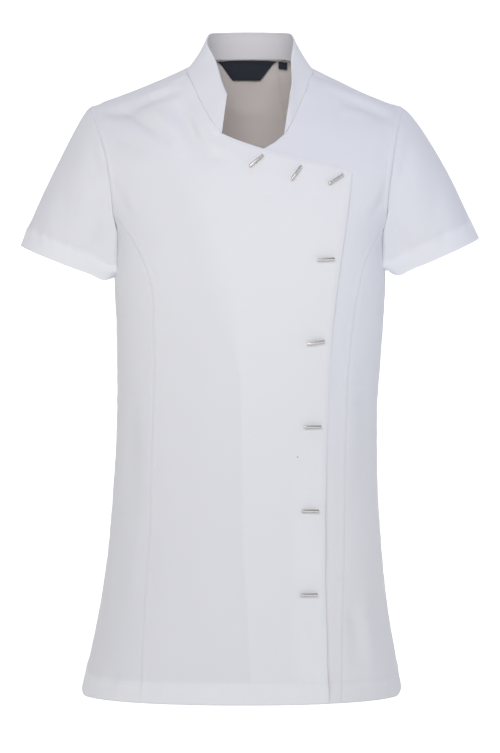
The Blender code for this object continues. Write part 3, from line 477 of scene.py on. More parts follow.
# Creases in millimetres: how far each rises (a trough is negative), how wide it is to either
# side, and the line it follows as x and height.  A sleeve's x runs outwards.
FRONT_CREASES = (
    # right shoulder, fanning down from the shoulder point
    (-4.2, 7.5, ((-156, -43), (-138, -57), (-117, -72), (-91, -94))),
    (2.4, 10, ((-134, -46), (-112, -56), (-92, -78), (-78, -112))),
    (-2.8, 8.5, ((-176, -60), (-149, -89), (-126, -104))),
    (-5, 9.5, ((-182, -52), (-160, -52), (-138, -46), (-118, -38))),
    (-3.4, 6, ((-140, -44), (-118, -38), (-94, -29), (-78, -23))),
    (2, 4, ((-134, -34), (-112, -27), (-90, -19))),
    # beside the collar, down to the wrap's notch
    (-4.2, 9, ((-86, -42), (-82, -52), (-73, -70), (-56, -107), (-40, -119))),
    (2.4, 6.5, ((-68, -44), (-59, -75), (-44, -98), (-20, -109))),
    (-0.8, 9, ((-108, -56), (-96, -88), (-78, -128))),
    # over the bust to the waist
    (1.2, 14, ((-100, -100), (-70, -150), (-46, -207), (-30, -270))),
    (-1.2, 15, ((-118, -120), (-94, -168), (-74, -226), (-60, -300))),
    (-1, 13, ((20, -150), (8, -190), (0, -250))),
    # left shoulder and armhole
    (-2.7, 8, ((184, -64), (162, -58), (140, -51), (108, -39))),
    (2.6, 4.2, ((85, -19), (128, -36), (172, -52))),
    (1.6, 6, ((150, -58), (128, -54), (104, -52))),
    (-1, 8, ((158, -62), (162, -90), (160, -120))),
    (-2, 6, ((160, -152), (150, -170), (138, -186))),
    (1.2, 6, ((156, -140), (144, -160), (130, -178))),
    (-1.4, 6, ((-156, -146), (-148, -166), (-134, -188))),
    # right side, past the princess seam
    (-3.4, 12.5, ((-141, -390), (-140, -450), (-142, -530))),
    (1.2, 10, ((-128, -520), (-134, -580), (-140, -650))),
    (-1, 9, ((-150, -560), (-156, -620), (-164, -690))),
    # waist of the left side
    (-3.2, 12, ((136, -350), (138, -425), (136, -510))),
    (-1.2, 6, ((122, -352), (134, -356), (150, -352))),
    (1, 5.5, ((126, -378), (136, -377), (148, -372))),
    (-1.4, 6.5, ((120, -400), (134, -398), (150, -388))),
    (-0.8, 5.5, ((124, -428), (138, -424), (150, -414))),
    # low on the left front
    (-2.4, 8.5, ((118, -628), (123, -664), (127, -706))),
    (2, 7.5, ((131, -616), (137, -655), (143, -712))),
    (-2.8, 9.5, ((150, -600), (157, -652), (166, -716))),
    (1.6, 6.5, ((168, -656), (173, -690), (178, -726))),
    (-1.6, 6, ((106, -640), (128, -652), (150, -640))),
    # a small drag beside the left princess seam
    (-1.2, 2.8, ((101, -602), (106, -600), (111, -596))),
    (0.8, 3, ((100, -607), (106, -606), (112, -602))),
    # low across the wrap
    (-1, 14, ((-20, -500), (-14, -580), (-10, -690))),
    (1, 11, ((52, -620), (58, -650), (66, -700))),
    (-0.8, 6, ((62, -596), (76, -592), (90, -598))),
    (-0.7, 7, ((60, -500), (74, -496), (88, -500))),
)
BACK_CREASES = (
    (-1.8, 9, ((-150, -60), (-132, -90), (-106, -118))),
    (1, 8, ((-138, -52), (-118, -78), (-92, -100))),
    (-1.4, 8, ((154, -58), (136, -84), (114, -108))),
    (-1.2, 10, ((-60, -20), (-28, -36), (10, -40), (50, -30))),
    (-1.6, 9, ((-150, -170), (-126, -200), (-100, -222))),
    (1, 8, ((-150, -190), (-124, -220), (-98, -246))),
    (-1.4, 9, ((150, -176), (128, -204), (104, -232))),
    (-1.8, 7, ((-140, -352), (-112, -366), (-78, -360))),
    (1.2, 6, ((-138, -376), (-110, -386), (-80, -380))),
    (-1.4, 7, ((-132, -404), (-106, -408), (-84, -400))),
    (-1.6, 6.5, ((142, -366), (112, -374), (86, -366))),
    (1, 6, ((136, -390), (110, -394), (90, -388))),
    (-1.2, 8, ((-50, -330), (-10, -344), (40, -338))),
    (-1, 7, ((-44, -372), (0, -380), (46, -370))),
    (-2.4, 14, ((-120, -470), (-132, -560), (-146, -700))),
    (1.8, 14, ((-60, -480), (-64, -580), (-70, -720))),
    (-2.2, 16, ((-22, -460), (-20, -570), (-22, -720))),
    (1.6, 14, ((26, -500), (30, -600), (34, -724))),
    (-2, 14, ((60, -460), (70, -580), (80, -716))),
    (1.6, 12, ((112, -500), (122, -600), (134, -716))),
    (-1.6, 11, ((146, -520), (156, -620), (166, -700))),
)
SLEEVE_CREASES = (
    (-1.4, 8, ((192, -74), (184, -108), (174, -146), (166, -186))),
    (1, 9, ((204, -80), (200, -120), (194, -160), (186, -204))),
    (-1.2, 9, ((222, -120), (220, -160), (214, -206))),
    (0.8, 8, ((236, -150), (238, -180), (236, -212))),
    (-1.2, 6, ((178, -196), (186, -216), (194, -240))),
    (-2.6, 8, ((170, -156), (172, -190), (174, -226))),
)
CREASE_STEPS = 20             # straight steps along a crease
CREASE_ENDS = 0.75            # how bluntly a crease ends
CREASE_SPREAD = (0.75, 0.35)  # share of its width at its start, and what it gains on the way
SLEEVE_BACK_SHIFT = 0.006     # the back of a sleeve has the same creases, moved out and up
SLEEVE_BACK_RISE = 0.008

# The facing that doubles the wrap, seen as a faint step: its edge as x at a height.
FACING_EDGE = table("height x", (
    (-0.09, -0.112), (-0.127, -0.085), (-0.207, -0.048), (-0.256, -0.035), (-0.314, -0.0215),
    (-0.388, -0.0106), (-0.476, -0.0094), (-0.529, -0.009), (-0.675, -0.001), (-0.744, 0.001),
))
FACING_STEP = 0.00035
FACING_STEP_TOP = -0.16       # the step is felt below this height
FACING_SOFT = 0.0014          # how softly the step goes, and how much softer on the chest
FACING_SOFTER = 0.010
SOFTER_HEIGHTS = (-0.36, -0.16)
FACING_FADE = 0.020           # how much softer the change of white is there
FADE_HEIGHTS = (-0.40, -0.20)
DOUBLED_LIGHT = 0.56          # how much lighter doubled cloth is, and the loss low down
DOUBLED_LIGHT_LOSS = 0.14
LOSS_HEIGHTS = (-0.26, -0.56)
PRESSED_LIGHT = 0.35          # how much lighter it is where it is pressed beside the edge
PRESSED_WIDTH = (0.045, 0.025)
PRESSED_HEIGHTS = (-0.42, -0.52)

# How a pressed seam, a turned hem and a folded edge lie.
SEAM_DIP = 0.00042
SEAM_DIP_WIDTH = 0.0012
PRESS_LIFT = 0.00036      # the turnings of a seam, felt under one side of it
PRESS_WIDTH = 0.0055
STEP_WIDTH = 0.0012       # how softly doubled cloth steps down
PUCKER = 0.00028
PUCKER_WIDTH = 0.012
PUCKER_LENGTH = 0.016
CORNER_RISE = 0.0150      # the hem is drawn up this much at the side seams
CORNER_WIDTH = 0.055
CORNER_HEIGHT = 0.060
CORNER_CURVE = 1.6
HEM_LIFT = 0.00075
HEM_STITCH = 0.00085      # depth and width of its row of stitches, and how far in it lies
HEM_STITCH_WIDTH = 0.0010
HEM_STITCH_IN = 0.0012
HEM_PUCKER = 0.00085
HEM_PUCKER_WIDTH = 0.011
HEM_PUCKER_IN = 0.004
HEM_PUCKER_LENGTH = 0.022
HEM_PLY = 0.90            # how much lighter the doubled hem is
FOLD_ROUND = 0.00105
FOLD_WIDTH = 0.0014
TURN_IN = 0.0012          # a seam's edge goes on inwards this far
EDGE_STRIP = 0.24         # share of a cell that rounds into the turned edge
UNEVEN = ((0.00075, 0.15), (0.00018, 0.045))      # height and length of worn cloth's bumps
JOIN_EASE = {"left": 0.022, "right": 0.022, "top": 0.007}     # creases fade out this far off
UNDERARM_SHARE = 0.42     # where round a sleeve its front turns in beside the body
UNDERARM_CORNER = {0: 0.1556, 1: -0.0480}     # where it is drawn to, outwards and back
UNDERARM_WIDTH = 0.06     # how far round that reaches, and how it eases off up and down
UNDERARM_TOP = 0.09
UNDERARM_LOSS = 0.45
CUFF_SHARE = 0.22         # how far up the sleeve its hem's shape reaches
TIP_SHARE = 0.380
TIP_WIDTH = 0.030
TIP_START = (0.370, 0.485)
TIP_END = (0.62, 0.70)
TIP_RISE = {"right": 0.0050, "left": 0.0130}  # a sleeve's hem is drawn up beside the body
TIP_DROP = 0.0040
ARMHOLE_RIDGE = 0.0011    # the turnings inside an armhole's edge, their width and place
RIDGE_WIDTH = 0.0022
RIDGE_IN = 0.0034
ARMHOLE_FADE = 0.025      # levels over which the princess seam gives way to the armhole
LAP_SINK = 0.0010         # the front under the wrap sinks beside the wrap's edge
LAP_WIDTH = 0.0022
LAP_IN = 0.0010
LAP_HEIGHTS = (-0.40, -0.50)
UNCOVERED_X = (0.085, 0.105)      # creases of the front under the wrap show past this x
UNCOVERED_TOP = -0.13             # and above this height
UNDERARM_SOFT = 0.014     # how far the rows above and below the underarm are softened
UNDERARM_PASSES = 60

# Seeds of the uneven fields, so that each stays as it is.
HEM_SEEDS = {"right_centre_front": 21, "left_centre_front": 22, "right_side_front": 23,
             "left_side_front": 24, "centre_back": 25, "right_side_back": 26,
             "left_side_back": 27, "right_sleeve": 31, "left_sleeve": 32}
FRONT_SEED, BACK_SEED, SEAM_SEED, SLEEVE_SEED, COLLAR_SEED, LABEL_SEED = 3, 5, 7, 41, 51, 61
WAVES = 14                    # waves that make up an uneven field


def near_line(x, z, line):
    """Distance to a line of x and height, and the share of the way along it."""
    start = line[:-1]
    step = line[1:] - start
    length = np.linalg.norm(step, axis=1)
    before = run_of(line)
    best = np.full(x.shape, np.inf)
    share = np.zeros(x.shape)
    for i in range(len(step)):
        along = ((x - start[i, 0]) * step[i, 0] + (z - start[i, 1]) * step[i, 1]) / length[i] ** 2
        along = np.clip(along, 0.0, 1.0)
        gap = np.hypot(x - start[i, 0] - along * step[i, 0], z - start[i, 1] - along * step[i, 1])
        share = np.where(gap < best, (before[i] + along * length[i]) / before[-1], share)
        best = np.minimum(best, gap)
    return best, share


def creases(x, z, rows):
    """How far the cloth rises at each x and height for a table of creases."""
    total = np.zeros(x.shape)
    for lift, width, points in rows:
        points = MILLIMETRE * np.array(points)
        run = run_of(points)
        soft = [smooth(run, values)(run[-1] * even(CREASE_STEPS)) for values in points.T]
        distance, share = near_line(x, z, np.stack(soft, axis=-1))
        strength = np.sin(math.pi * np.clip(share, 0.0, 1.0)) ** CREASE_ENDS
        width = MILLIMETRE * width * (CREASE_SPREAD[0] + CREASE_SPREAD[1] * share)
        total += MILLIMETRE * lift * strength * hump(distance, width)
    return total


def ripple(points, length, seed):
    """A soft uneven field, about -1 to 1, whose bumps are about that length."""
    chance = np.random.default_rng(seed)
    field = np.zeros(points.shape[:-1])
    for _ in range(WAVES):
        direction = unit(chance.normal(size=3))
        wave = 2.0 * math.pi / (length * chance.uniform(0.7, 1.5))
        field += np.cos(points @ direction * wave + chance.uniform(0.0, 2.0 * math.pi))
    return field / math.sqrt(WAVES)


# ------------------------------------------------------------------ grids of cloth


def run_along(points, axis):
    """Metres along the rows (axis 1) or up the columns (axis 0) of a grid."""
    steps = np.linalg.norm(np.diff(points, axis=axis), axis=-1)
    start = np.zeros_like(np.take(points[..., 0], [0], axis=axis))
    return np.concatenate([start, np.cumsum(steps, axis=axis)], axis=axis)


class Panel:
    """A grid of cloth, seen from outside, and what is known at each of its points."""

    def __init__(self, name, points):
        self.name = name
        self.points = points
        self.x = points[..., 0]
        self.z = points[..., 2]
        self.normal = unit(np.cross(np.gradient(points, axis=1), np.gradient(points, axis=0)))
        self.left = run_along(points, 1)
        self.right = self.left[:, -1:] - self.left
        self.bottom = run_along(points, 0)
        self.top = self.bottom[-1:] - self.bottom
        self.rise = np.zeros(self.x.shape)
        self.ply = np.zeros(self.x.shape)
        self.stitch = np.ones(self.x.shape)
        self.turned = []

    def drape(self, rows, seed, sides, where=1.0):
        """Creases and the slight unevenness of worn cloth, easing out where pieces join."""
        rise = creases(self.x, self.z, rows)
        for number, (height, length) in enumerate(UNEVEN):
            rise += height * ripple(self.points, length, seed + number)
        for side in sides:
            rise = rise * ease(getattr(self, side) / JOIN_EASE[side])
        self.rise += rise * where

    def seam(self, side, pressed=0.0, where=1.0, turned=True):
        """Sinks the cloth into a seam, puckers it a little, and turns its edge inwards."""
        distance = getattr(self, side)
        dip = -SEAM_DIP * hump(distance, SEAM_DIP_WIDTH)
        uneven = ripple(self.points, PUCKER_LENGTH, SEAM_SEED)
        pucker = PUCKER * hump(distance, PUCKER_WIDTH) * uneven
        under = 1.0 - ease((distance - PRESS_WIDTH) / STEP_WIDTH)
        self.rise += where * (dip + pucker + pressed * PRESS_LIFT * under)
        if turned:
            self.turned.append(side)

    def armhole_side(self, side, level, which):
        """A front's outer side: the princess seam, then the armhole over its turnings."""
        distance = getattr(self, side)
        upper = ease((level - PRINCESS_TOP[which]) / ARMHOLE_FADE)[:, None]
        self.rise *= 1.0 - upper * (1.0 - ease(distance / JOIN_EASE[side]))
        self.seam(side, pressed=1.0)
        ridge = ARMHOLE_RIDGE * hump(distance, RIDGE_WIDTH, RIDGE_IN)
        self.rise += upper * (ridge + 0.5 * SEAM_DIP * hump(distance, SEAM_DIP_WIDTH))

    def hem(self, depth=HEM_DEPTH):
        """Doubles the cloth along its hem, with a row of stitches and their puckers."""
        under = 1.0 - ease((self.bottom - depth) / STEP_WIDTH)
        row = hump(self.bottom, HEM_STITCH_WIDTH, depth - HEM_STITCH_IN)
        drawn = hump(self.bottom, HEM_PUCKER_WIDTH, depth - HEM_PUCKER_IN)
        uneven = ripple(self.points * np.array([1.0, 1.0, 0.25]), HEM_PUCKER_LENGTH,
                        HEM_SEEDS[self.name])
        self.rise += HEM_LIFT * under - HEM_STITCH * row + HEM_PUCKER * drawn * uneven
        self.ply = np.maximum(self.ply, HEM_PLY * under)
        self.stitch = self.bottom - depth + HEM_STITCH_IN

    def fold(self, distance):
        """Rounds a folded edge."""
        self.rise -= FOLD_ROUND * hump(distance, FOLD_WIDTH)

    def finished(self):
        """Moves the points by their rise and adds the turned-in edges."""
        points = self.points + self.normal * self.rise[..., None]
        parts = [points, points - self.normal * TURN_IN, self.left, self.bottom, self.ply,
                 self.stitch]
        for side in self.turned:
            parts = turned_in(parts, side)
        return parts[0], parts[2:]


def turned_in(parts, side):
    """Adds a narrow strip beside one edge, and then the edge again, deeper in."""
    def turn(lines):
        """Brings that edge to the ends of the rows, or takes it back."""
        if side == "top":
            return lines.swapaxes(0, 1)
        return lines[:, ::-1] if side == "left" else lines

    deep = turn(parts[1])[:, -1:]
    turned = []
    for index, part in enumerate(parts):
        lines = turn(part)
        edge = lines[:, -1:]
        strip = edge + (lines[:, -2:-1] - edge) * EDGE_STRIP
        end = deep if index < 2 else edge
        turned.append(turn(np.concatenate([lines[:, :-1], strip, edge, end], axis=1)))
    return turned


def placed(name, data):
    """A new object in the scene."""
    thing = bpy.data.objects.new(name, data)
    bpy.context.scene.collection.objects.link(thing)
    return thing


def settled(shape, mesh):
    """Writes a shape into a mesh."""
    shape.to_mesh(mesh)
    shape.free()


def sew(panel, materials, thickness=CLOTH, tube=False, offset=-1.0):
    """Makes a panel's mesh, with its wall, its cloth coordinates and its fields."""
    points, (across, up, ply, stitch) = panel.finished()
    rows, columns = points.shape[:2]
    mesh = bpy.data.meshes.new(panel.name)
    grid = bmesh.new()
    bmesh.ops.create_grid(grid, x_segments=columns - 1, y_segments=rows - 1, size=1.0)
    for vertex, point in zip(grid.verts, points.reshape(-1, 3)):
        vertex.co = Vector(point)
    settled(grid, mesh)
    corner = np.zeros(len(mesh.loops), dtype=np.int32)
    mesh.loops.foreach_get("vertex_index", corner)
    cloth = np.stack([across.ravel(), up.ravel()], axis=-1)[corner]
    mesh.uv_layers.new(name="cloth").data.foreach_set("uv", cloth.ravel().astype(np.float32))
    for name, field in (("ply", ply), ("stitch", stitch)):
        layer = mesh.attributes.new(name, "FLOAT", "POINT")
        layer.data.foreach_set("value", field.ravel().astype(np.float32))
    if tube:
        joined = bmesh.new()
        joined.from_mesh(mesh)
        bmesh.ops.remove_doubles(joined, verts=joined.verts, dist=1e-6)
        settled(joined, mesh)
    mesh.shade_smooth()
    thing = placed(panel.name + "_cloth", mesh)
    for material in materials:
        mesh.materials.append(material)
    wall = thing.modifiers.new("wall", "SOLIDIFY")
    wall.thickness = thickness
    wall.offset = offset
    wall.use_even_offset = False
    if len(materials) > 1:
        wall.material_offset = 1
        wall.material_offset_rim = 0
    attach(thing, "root")
    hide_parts(panel.name)
    return thing


# ------------------------------------------------------------------ fronts


def cells(piece):
    """The shares of the cells across a piece."""
    return even(round(WIDTHS[piece] / GRID))


def neckline_and(side, rows):
    """x at a height down one side of the front neckline and on along an edge."""
    heights, x = zip(*rows)
    return straight([*NECK["height"][:-1], *heights], [*NECK[side + "_x"][:-1], *x])


def princess_or_armhole(level, which):
    """Across value of a front's outer line: the princess seam, then the armhole."""
    seam = across_at(FRONT, level, smooth(PRINCESS["height"], PRINCESS[which + "_x"]))
    return np.where(level < PRINCESS_TOP[which], seam, SIDES[which])


def wrap_lift(points):
    """How far the wrap stands over the front that it laps."""
    return LAYER_LIFT * ease((points[..., :1] - WRAP_LIFT_START) / WRAP_LIFT_RUN)


def distance_to(panel, rows):
    """Distance of a panel's points to a line of heights and x."""
    return near_line(panel.x, panel.z, np.array(rows)[:, ::-1])[0]


def softened_rows(points, level):
    """Softens the rows above and below the underarm."""
    weight = 0.5 * hump(level, UNDERARM_SOFT, UNDERARM)[1:-1, None, None]
    for _ in range(UNDERARM_PASSES):
        middle = 0.5 * (points[:-2] + points[2:])
        points[1:-1] += weight * (middle - points[1:-1])
    return points


def cornered(form, across, level, outer):
    """Points of a side panel, its hem drawn up in a round corner at the side seam."""
    points = on_form(form, across, level[:, None])
    distance = run_along(points, 1)
    if outer == "right":
        distance = distance[:, -1:] - distance
    near = np.clip(1.0 - distance / CORNER_WIDTH, 0.0, 1.0) ** CORNER_CURVE
    low = 1.0 - ease(run_along(points, 0) / CORNER_HEIGHT)
    return on_form(form, across, level[:, None] + CORNER_RISE * near * low)


def right_centre_front(materials):
    """The wrap: from the right princess seam and armhole across to its free edge."""
    level = FRONT_LEVELS
    free_edge = across_at(FRONT, level, neckline_and("right", WRAP_TOP + WRAP_SIDE))
    princess = princess_or_armhole(level, "right")
    across = between(FRONT, level, princess, free_edge, cells("wrap"))
    points = softened_rows(on_form(FRONT, across, level[:, None]), level)
    points = points + outward(FRONT, across, level[:, None]) * wrap_lift(points)
    panel = Panel("right_centre_front", points)
    panel.drape(FRONT_CREASES, FRONT_SEED, ("top",))
    panel.armhole_side("left", level, "right")
    past = panel.x - smooth(FACING_EDGE["height"], FACING_EDGE["x"])(panel.z)
    soft = FACING_SOFT + FACING_SOFTER * fade(panel.z, *SOFTER_HEIGHTS)
    panel.rise += FACING_STEP * ease(0.5 + past / (2.0 * soft)) * (panel.z < FACING_STEP_TOP)
    edge = distance_to(panel, WRAP_TOP + WRAP_SIDE)
    pressed = fade(edge, *PRESSED_WIDTH) * fade(panel.z, *PRESSED_HEIGHTS)
    softer = soft + FACING_FADE * fade(panel.z, *FADE_HEIGHTS)
    light = DOUBLED_LIGHT - DOUBLED_LIGHT_LOSS * fade(panel.z, *LOSS_HEIGHTS)
    panel.ply = ease(0.5 + past / (2.0 * softer)) * (light + PRESSED_LIGHT * pressed)
    panel.seam("right", where=(level > NOTCH["right"])[:, None])
    panel.fold(edge)
    panel.seam("top")
    panel.hem()
    return sew(panel, materials, WRAP_CLOTH)


def left_centre_front(materials):
    """The front under the wrap: from its hidden edge to the left princess seam."""
    level = FRONT_LEVELS
    hidden_edge = across_at(FRONT, level, neckline_and("left", UNDER_EDGE))
    princess = princess_or_armhole(level, "left")
    across = between(FRONT, level, hidden_edge, princess, cells("under"))
    points = softened_rows(on_form(FRONT, across, level[:, None]), level)
    panel = Panel("left_centre_front", points)
    lapped = distance_to(panel, WRAP_TOP[-1:] + WRAP_SIDE)
    panel.rise -= LAP_SINK * hump(lapped, LAP_WIDTH, LAP_IN) * fade(panel.z, *LAP_HEIGHTS)
    uncovered = fade(panel.x, *UNCOVERED_X) + (panel.z > UNCOVERED_TOP)
    panel.drape(FRONT_CREASES, FRONT_SEED, ("top",), np.clip(uncovered, 0.0, 1.0))
    panel.armhole_side("right", level, "left")
    panel.seam("left", where=(level > NOTCH["left"])[:, None], turned=False)
    panel.seam("top")
    panel.hem()
    return sew(panel, materials)


def side_front(which, materials):
    """The panel between a princess seam and the side seam, up to the armhole."""
    level = FRONT_LEVELS[FRONT_LEVELS <= PRINCESS_TOP[which]]
    seam = princess_or_armhole(level - 1e-9, which)
    edge = np.full_like(level, SIDES[which])
    lines, outer = ((edge, seam), "left") if which == "right" else ((seam, edge), "right")
    across = between(FRONT, level, *lines, cells("side_front"))
    points = softened_rows(cornered(FRONT, across, level, outer), level)
    panel = Panel(which + "_side_front", points)
    panel.drape(FRONT_CREASES, FRONT_SEED, (outer,))
    for side in ("left", "right"):
        panel.seam(side)
    panel.hem()
    return sew(panel, materials)


# ------------------------------------------------------------------ back


def back_seam(level, facing):
    """Across value of the back seam of one side at each level."""
    x_at = smooth(BACK_SEAM["height"], BACK_SEAM["x"])
    return across_at(BACK, level, lambda height: facing * x_at(height))


BACK_NECKLINE = smooth(BACK_NECK["level"], BACK_NECK["x"])


def centre_back(materials):
    """The panel between the two back seams."""
    level = back_levels(NAPE_LEVEL)
    left, right = (back_seam(level, facing) for facing in SIDES.values())
    across = between(BACK, level, left, right, cells("centre_back"))
    panel = Panel("centre_back", on_form(BACK, across, level[:, None]))
    panel.drape(BACK_CREASES, BACK_SEED, ())
    for side in ("left", "right"):
        panel.seam(side, pressed=1.0)
    panel.seam("top")
    panel.hem()
    return sew(panel, materials)


def side_back(which, materials):
    """The panel from a back seam to the side seam, with the back of the armhole."""
    facing = SIDES[which]
    level = back_levels(BACK_TOP)
    neck = across_of(BACK, facing * BACK_NECKLINE(level), level)
    inner = np.where(level <= NAPE_LEVEL, back_seam(level, facing), neck)
    across = between(BACK, level, inner, np.full_like(level, facing), cells("side_back"))
    if which == "left":
        across = across[:, ::-1]
    panel = Panel(which + "_side_back", cornered(BACK, across, level, which))
    panel.drape(BACK_CREASES, BACK_SEED, (which, "top"))
    for side in ("left", "right", "top"):
        panel.seam(side)
    panel.hem()
    return sew(panel, materials)


# ------------------------------------------------------------------ sleeves


def armhole(facing, share):
    """Points of an armhole, with x outwards, at shares of the way round it.

    0 and 1 are the shoulder seam and 0.5 is the underarm.  Facing is 1 on the left.
    """
    front = on_form(FRONT, facing, np.linspace(FRONT_TOP, UNDERARM, ARMHOLE_SAMPLES))
    back = on_form(BACK, facing, np.linspace(UNDERARM, BACK_TOP, ARMHOLE_SAMPLES))
    down, up = (0.5 * run / run[-1] for run in (run_of(front), run_of(back)))
    points = np.concatenate([front, back[1:]]) * np.array([facing, 1.0, 1.0])
    return point_at(points, np.concatenate([down, 0.5 + up[1:]]), share)


def sleeve_points(which):
    """Rings of a sleeve from the cuff up to the armhole and just inside it."""
    facing = SIDES[which]
    share = even(SLEEVE_CELLS)
    hole = armhole(facing, share)
    out, back, down, reach = (smooth(SLEEVE_LEAVE["share"], SLEEVE_LEAVE[name])(share)
                              for name in ("out", "back", "down", "reach"))
    leave = unit(np.stack([out, back, -down], axis=-1))
    under = np.sin(math.pi * share) ** 2
    size = dict(zip(CUFF_COLUMNS, CUFF[which]))
    slant = math.radians(size["slant"])
    wide = np.array([math.cos(slant), 0.0, math.sin(slant)]) * size["radius_across"]
    deep = np.array([0.0, -CUFF_RADIUS_DEPTH, -CUFF_TIP])
    angle = 2.0 * math.pi * share[:, None]
    cuff = np.array([size["out"], 0.0, size["height"]]) + (
        np.cos(angle) * wide + np.sin(angle) * deep)
    axis = np.array([math.sin(slant), 0.0, -math.cos(slant)])
    crown = 1.0 + (size["crown"] - 1.0) * (1.0 - under) ** 2
    reach_up = leave * (reach * crown)[:, None]
    reach_down = axis * CUFF_PULL * (1.0 - CUFF_PULL_LOSS * under)[:, None]
    rows = []
    for t in (*np.linspace(1.0, 0.0, SLEEVE_RINGS)[:-1], SLEEVE_EDGE_RING, 0.0):
        start, leaving, end, arriving = hermite(t)
        rows.append(start * hole + leaving * reach_up + end * cuff + arriving * reach_down)
    clear = leave * (1.0 - under)[:, None] + np.array([1.0, 0.0, 0.0]) * under[:, None]
    rows.append(hole - clear * SLEEVE_TUCK)
    return np.array(rows) * np.array([facing, 1.0, 1.0])


def filled(points, which):
    """Fills a sleeve out beside the body, and draws its hem up there past a blunt tip."""
    rows, columns = points.shape[:2]
    share = even(columns - 1)[None, :]
    up = even(rows - 1)[:, None]
    low = 1.0 - ease(up / CUFF_SHARE)
    drawn = ease((1.0 - up) / UNDERARM_TOP) * (1.0 - UNDERARM_LOSS * low)
    drawn = drawn * hump(share, UNDERARM_WIDTH, UNDERARM_SHARE)
    ring = points[:, round(UNDERARM_SHARE * (columns - 1))]
    aim = {0: SIDES[which] * UNDERARM_CORNER[0], 1: UNDERARM_CORNER[1]}
    moved = points.copy()
    for axis, place in aim.items():
        moved[..., axis] += (place - ring[:, axis])[:, None] * drawn
    inner = fade(share, *TIP_START) * (1.0 - fade(share, *TIP_END))
    tip = hump(share, TIP_WIDTH, TIP_SHARE)
    moved[..., 2] += (TIP_RISE[which] * inner - TIP_DROP * tip) * low
    return moved


def sleeve(which, materials):
    """A set-in short sleeve, a tube from its hem to inside the armhole."""
    points = filled(sleeve_points(which), which)
    if which == "left":
        points = points[:, ::-1]
    panel = Panel(which + "_sleeve", points)
    panel.normal[:, 0] = panel.normal[:, -1] = unit(panel.normal[:, 0] + panel.normal[:, -1])
    out = SIDES[which] * panel.x
    in_front = ease(0.5 - points[..., 1] / SLEEVE_SPLIT)
    panel.rise += creases(out, panel.z, SLEEVE_CREASES) * in_front
    behind = creases(out + SLEEVE_BACK_SHIFT, panel.z - SLEEVE_BACK_RISE, SLEEVE_CREASES)
    panel.rise += behind * (1.0 - in_front)
    panel.rise += SLEEVE_UNEVEN[0] * ripple(points, SLEEVE_UNEVEN[1], SLEEVE_SEED)
    panel.seam("top", turned=False)
    panel.hem(SLEEVE_HEM_DEPTH)
    panel.rise[:, -1] = panel.rise[:, 0] = 0.5 * (panel.rise[:, 0] + panel.rise[:, -1])
    return sew(panel, materials, tube=True)


# ------------------------------------------------------------------ collar


def neck_seam(share):
    """The neck seam from the wrap's notch round the back to the left front."""
    down = np.linspace(NOTCH["right"], FRONT_TOP, SEAM_SAMPLES)
    across = across_at(FRONT, down, straight(NECK["height"], NECK["right_x"]))
    right = on_form(FRONT, across, down)
    right = right + outward(FRONT, across, down) * wrap_lift(right)
    climb = np.linspace(BACK_TOP, NAPE_LEVEL, SEAM_SAMPLES)
    back_right, back_left = (across_of(BACK, facing * BACK_NECKLINE(climb), climb)
                             for facing in (-1.0, 1.0))
    nape = np.linspace(back_right[-1], back_left[-1], NAPE_SAMPLES)
    up = np.linspace(FRONT_TOP, NOTCH["left"], SEAM_SAMPLES)
    left = across_at(FRONT, up, straight(NECK["height"], NECK["left_x"]))
    line = np.concatenate([
        right,
        on_form(BACK, back_right, climb),
        on_form(BACK, nape, NAPE_LEVEL),
        on_form(BACK, back_left[::-1], climb[::-1]),
        on_form(FRONT, left, up),
    ])
    run = run_of(line)
    return point_at(line, run / run[-1], share)


def evened(line, times):
    """A line with its kinks softened, which keeps its ends."""
    for _ in range(times):
        line[1:-1] = 0.5 * line[1:-1] + 0.25 * (line[:-2] + line[2:])
    return line


def collar(materials):
    """The stand collar, open at the front."""
    share = even(COLLAR_CELLS)
    foot = evened(neck_seam(share), COLLAR_PASSES["foot"])
    top = np.stack([smooth(COLLAR_TOP["share"], COLLAR_TOP[name])(share)
                    for name in ("x", "y", "z")], axis=-1)
    top = evened(top, COLLAR_PASSES["top"])
    foot = foot - unit(top - foot) * COLLAR_SEAT
    points = np.array([foot + (top - foot) * t for t in even(COLLAR_ROWS)])[:, ::-1]
    panel = Panel("stand_collar", points)
    panel.rise += COLLAR_UNEVEN[0] * ripple(points, COLLAR_UNEVEN[1], COLLAR_SEED)
    panel.rise -= COLLAR_STITCH_DEPTH * hump(panel.top, HEM_STITCH_WIDTH, COLLAR_STITCH)
    panel.fold(panel.top)
    panel.stitch = panel.top - COLLAR_STITCH
    panel.ply += 1.0
    return sew(panel, materials, COLLAR_CLOTH, offset=0.0)


# ------------------------------------------------------------------ neck tape and labels


def inside_back(x, level, inset):
    """Points inside the back panels, that far in from their outer face."""
    across = across_of(BACK, x, level)
    return on_form(BACK, across, level) - outward(BACK, across, level) * inset


def neck_tape(materials):
    """The tape that covers the back neck seam on the inside."""
    x = TAPE_HALF * (2.0 * even(TAPE_CELLS[0]) - 1.0)
    down = even(TAPE_CELLS[1])[:, None]
    level = NAPE_LEVEL + TAPE_OVER - (TAPE_WIDTH + TAPE_OVER) * down
    return sew(Panel("neck_tape", inside_back(x, level, INSET)), materials, LABEL_CLOTH)


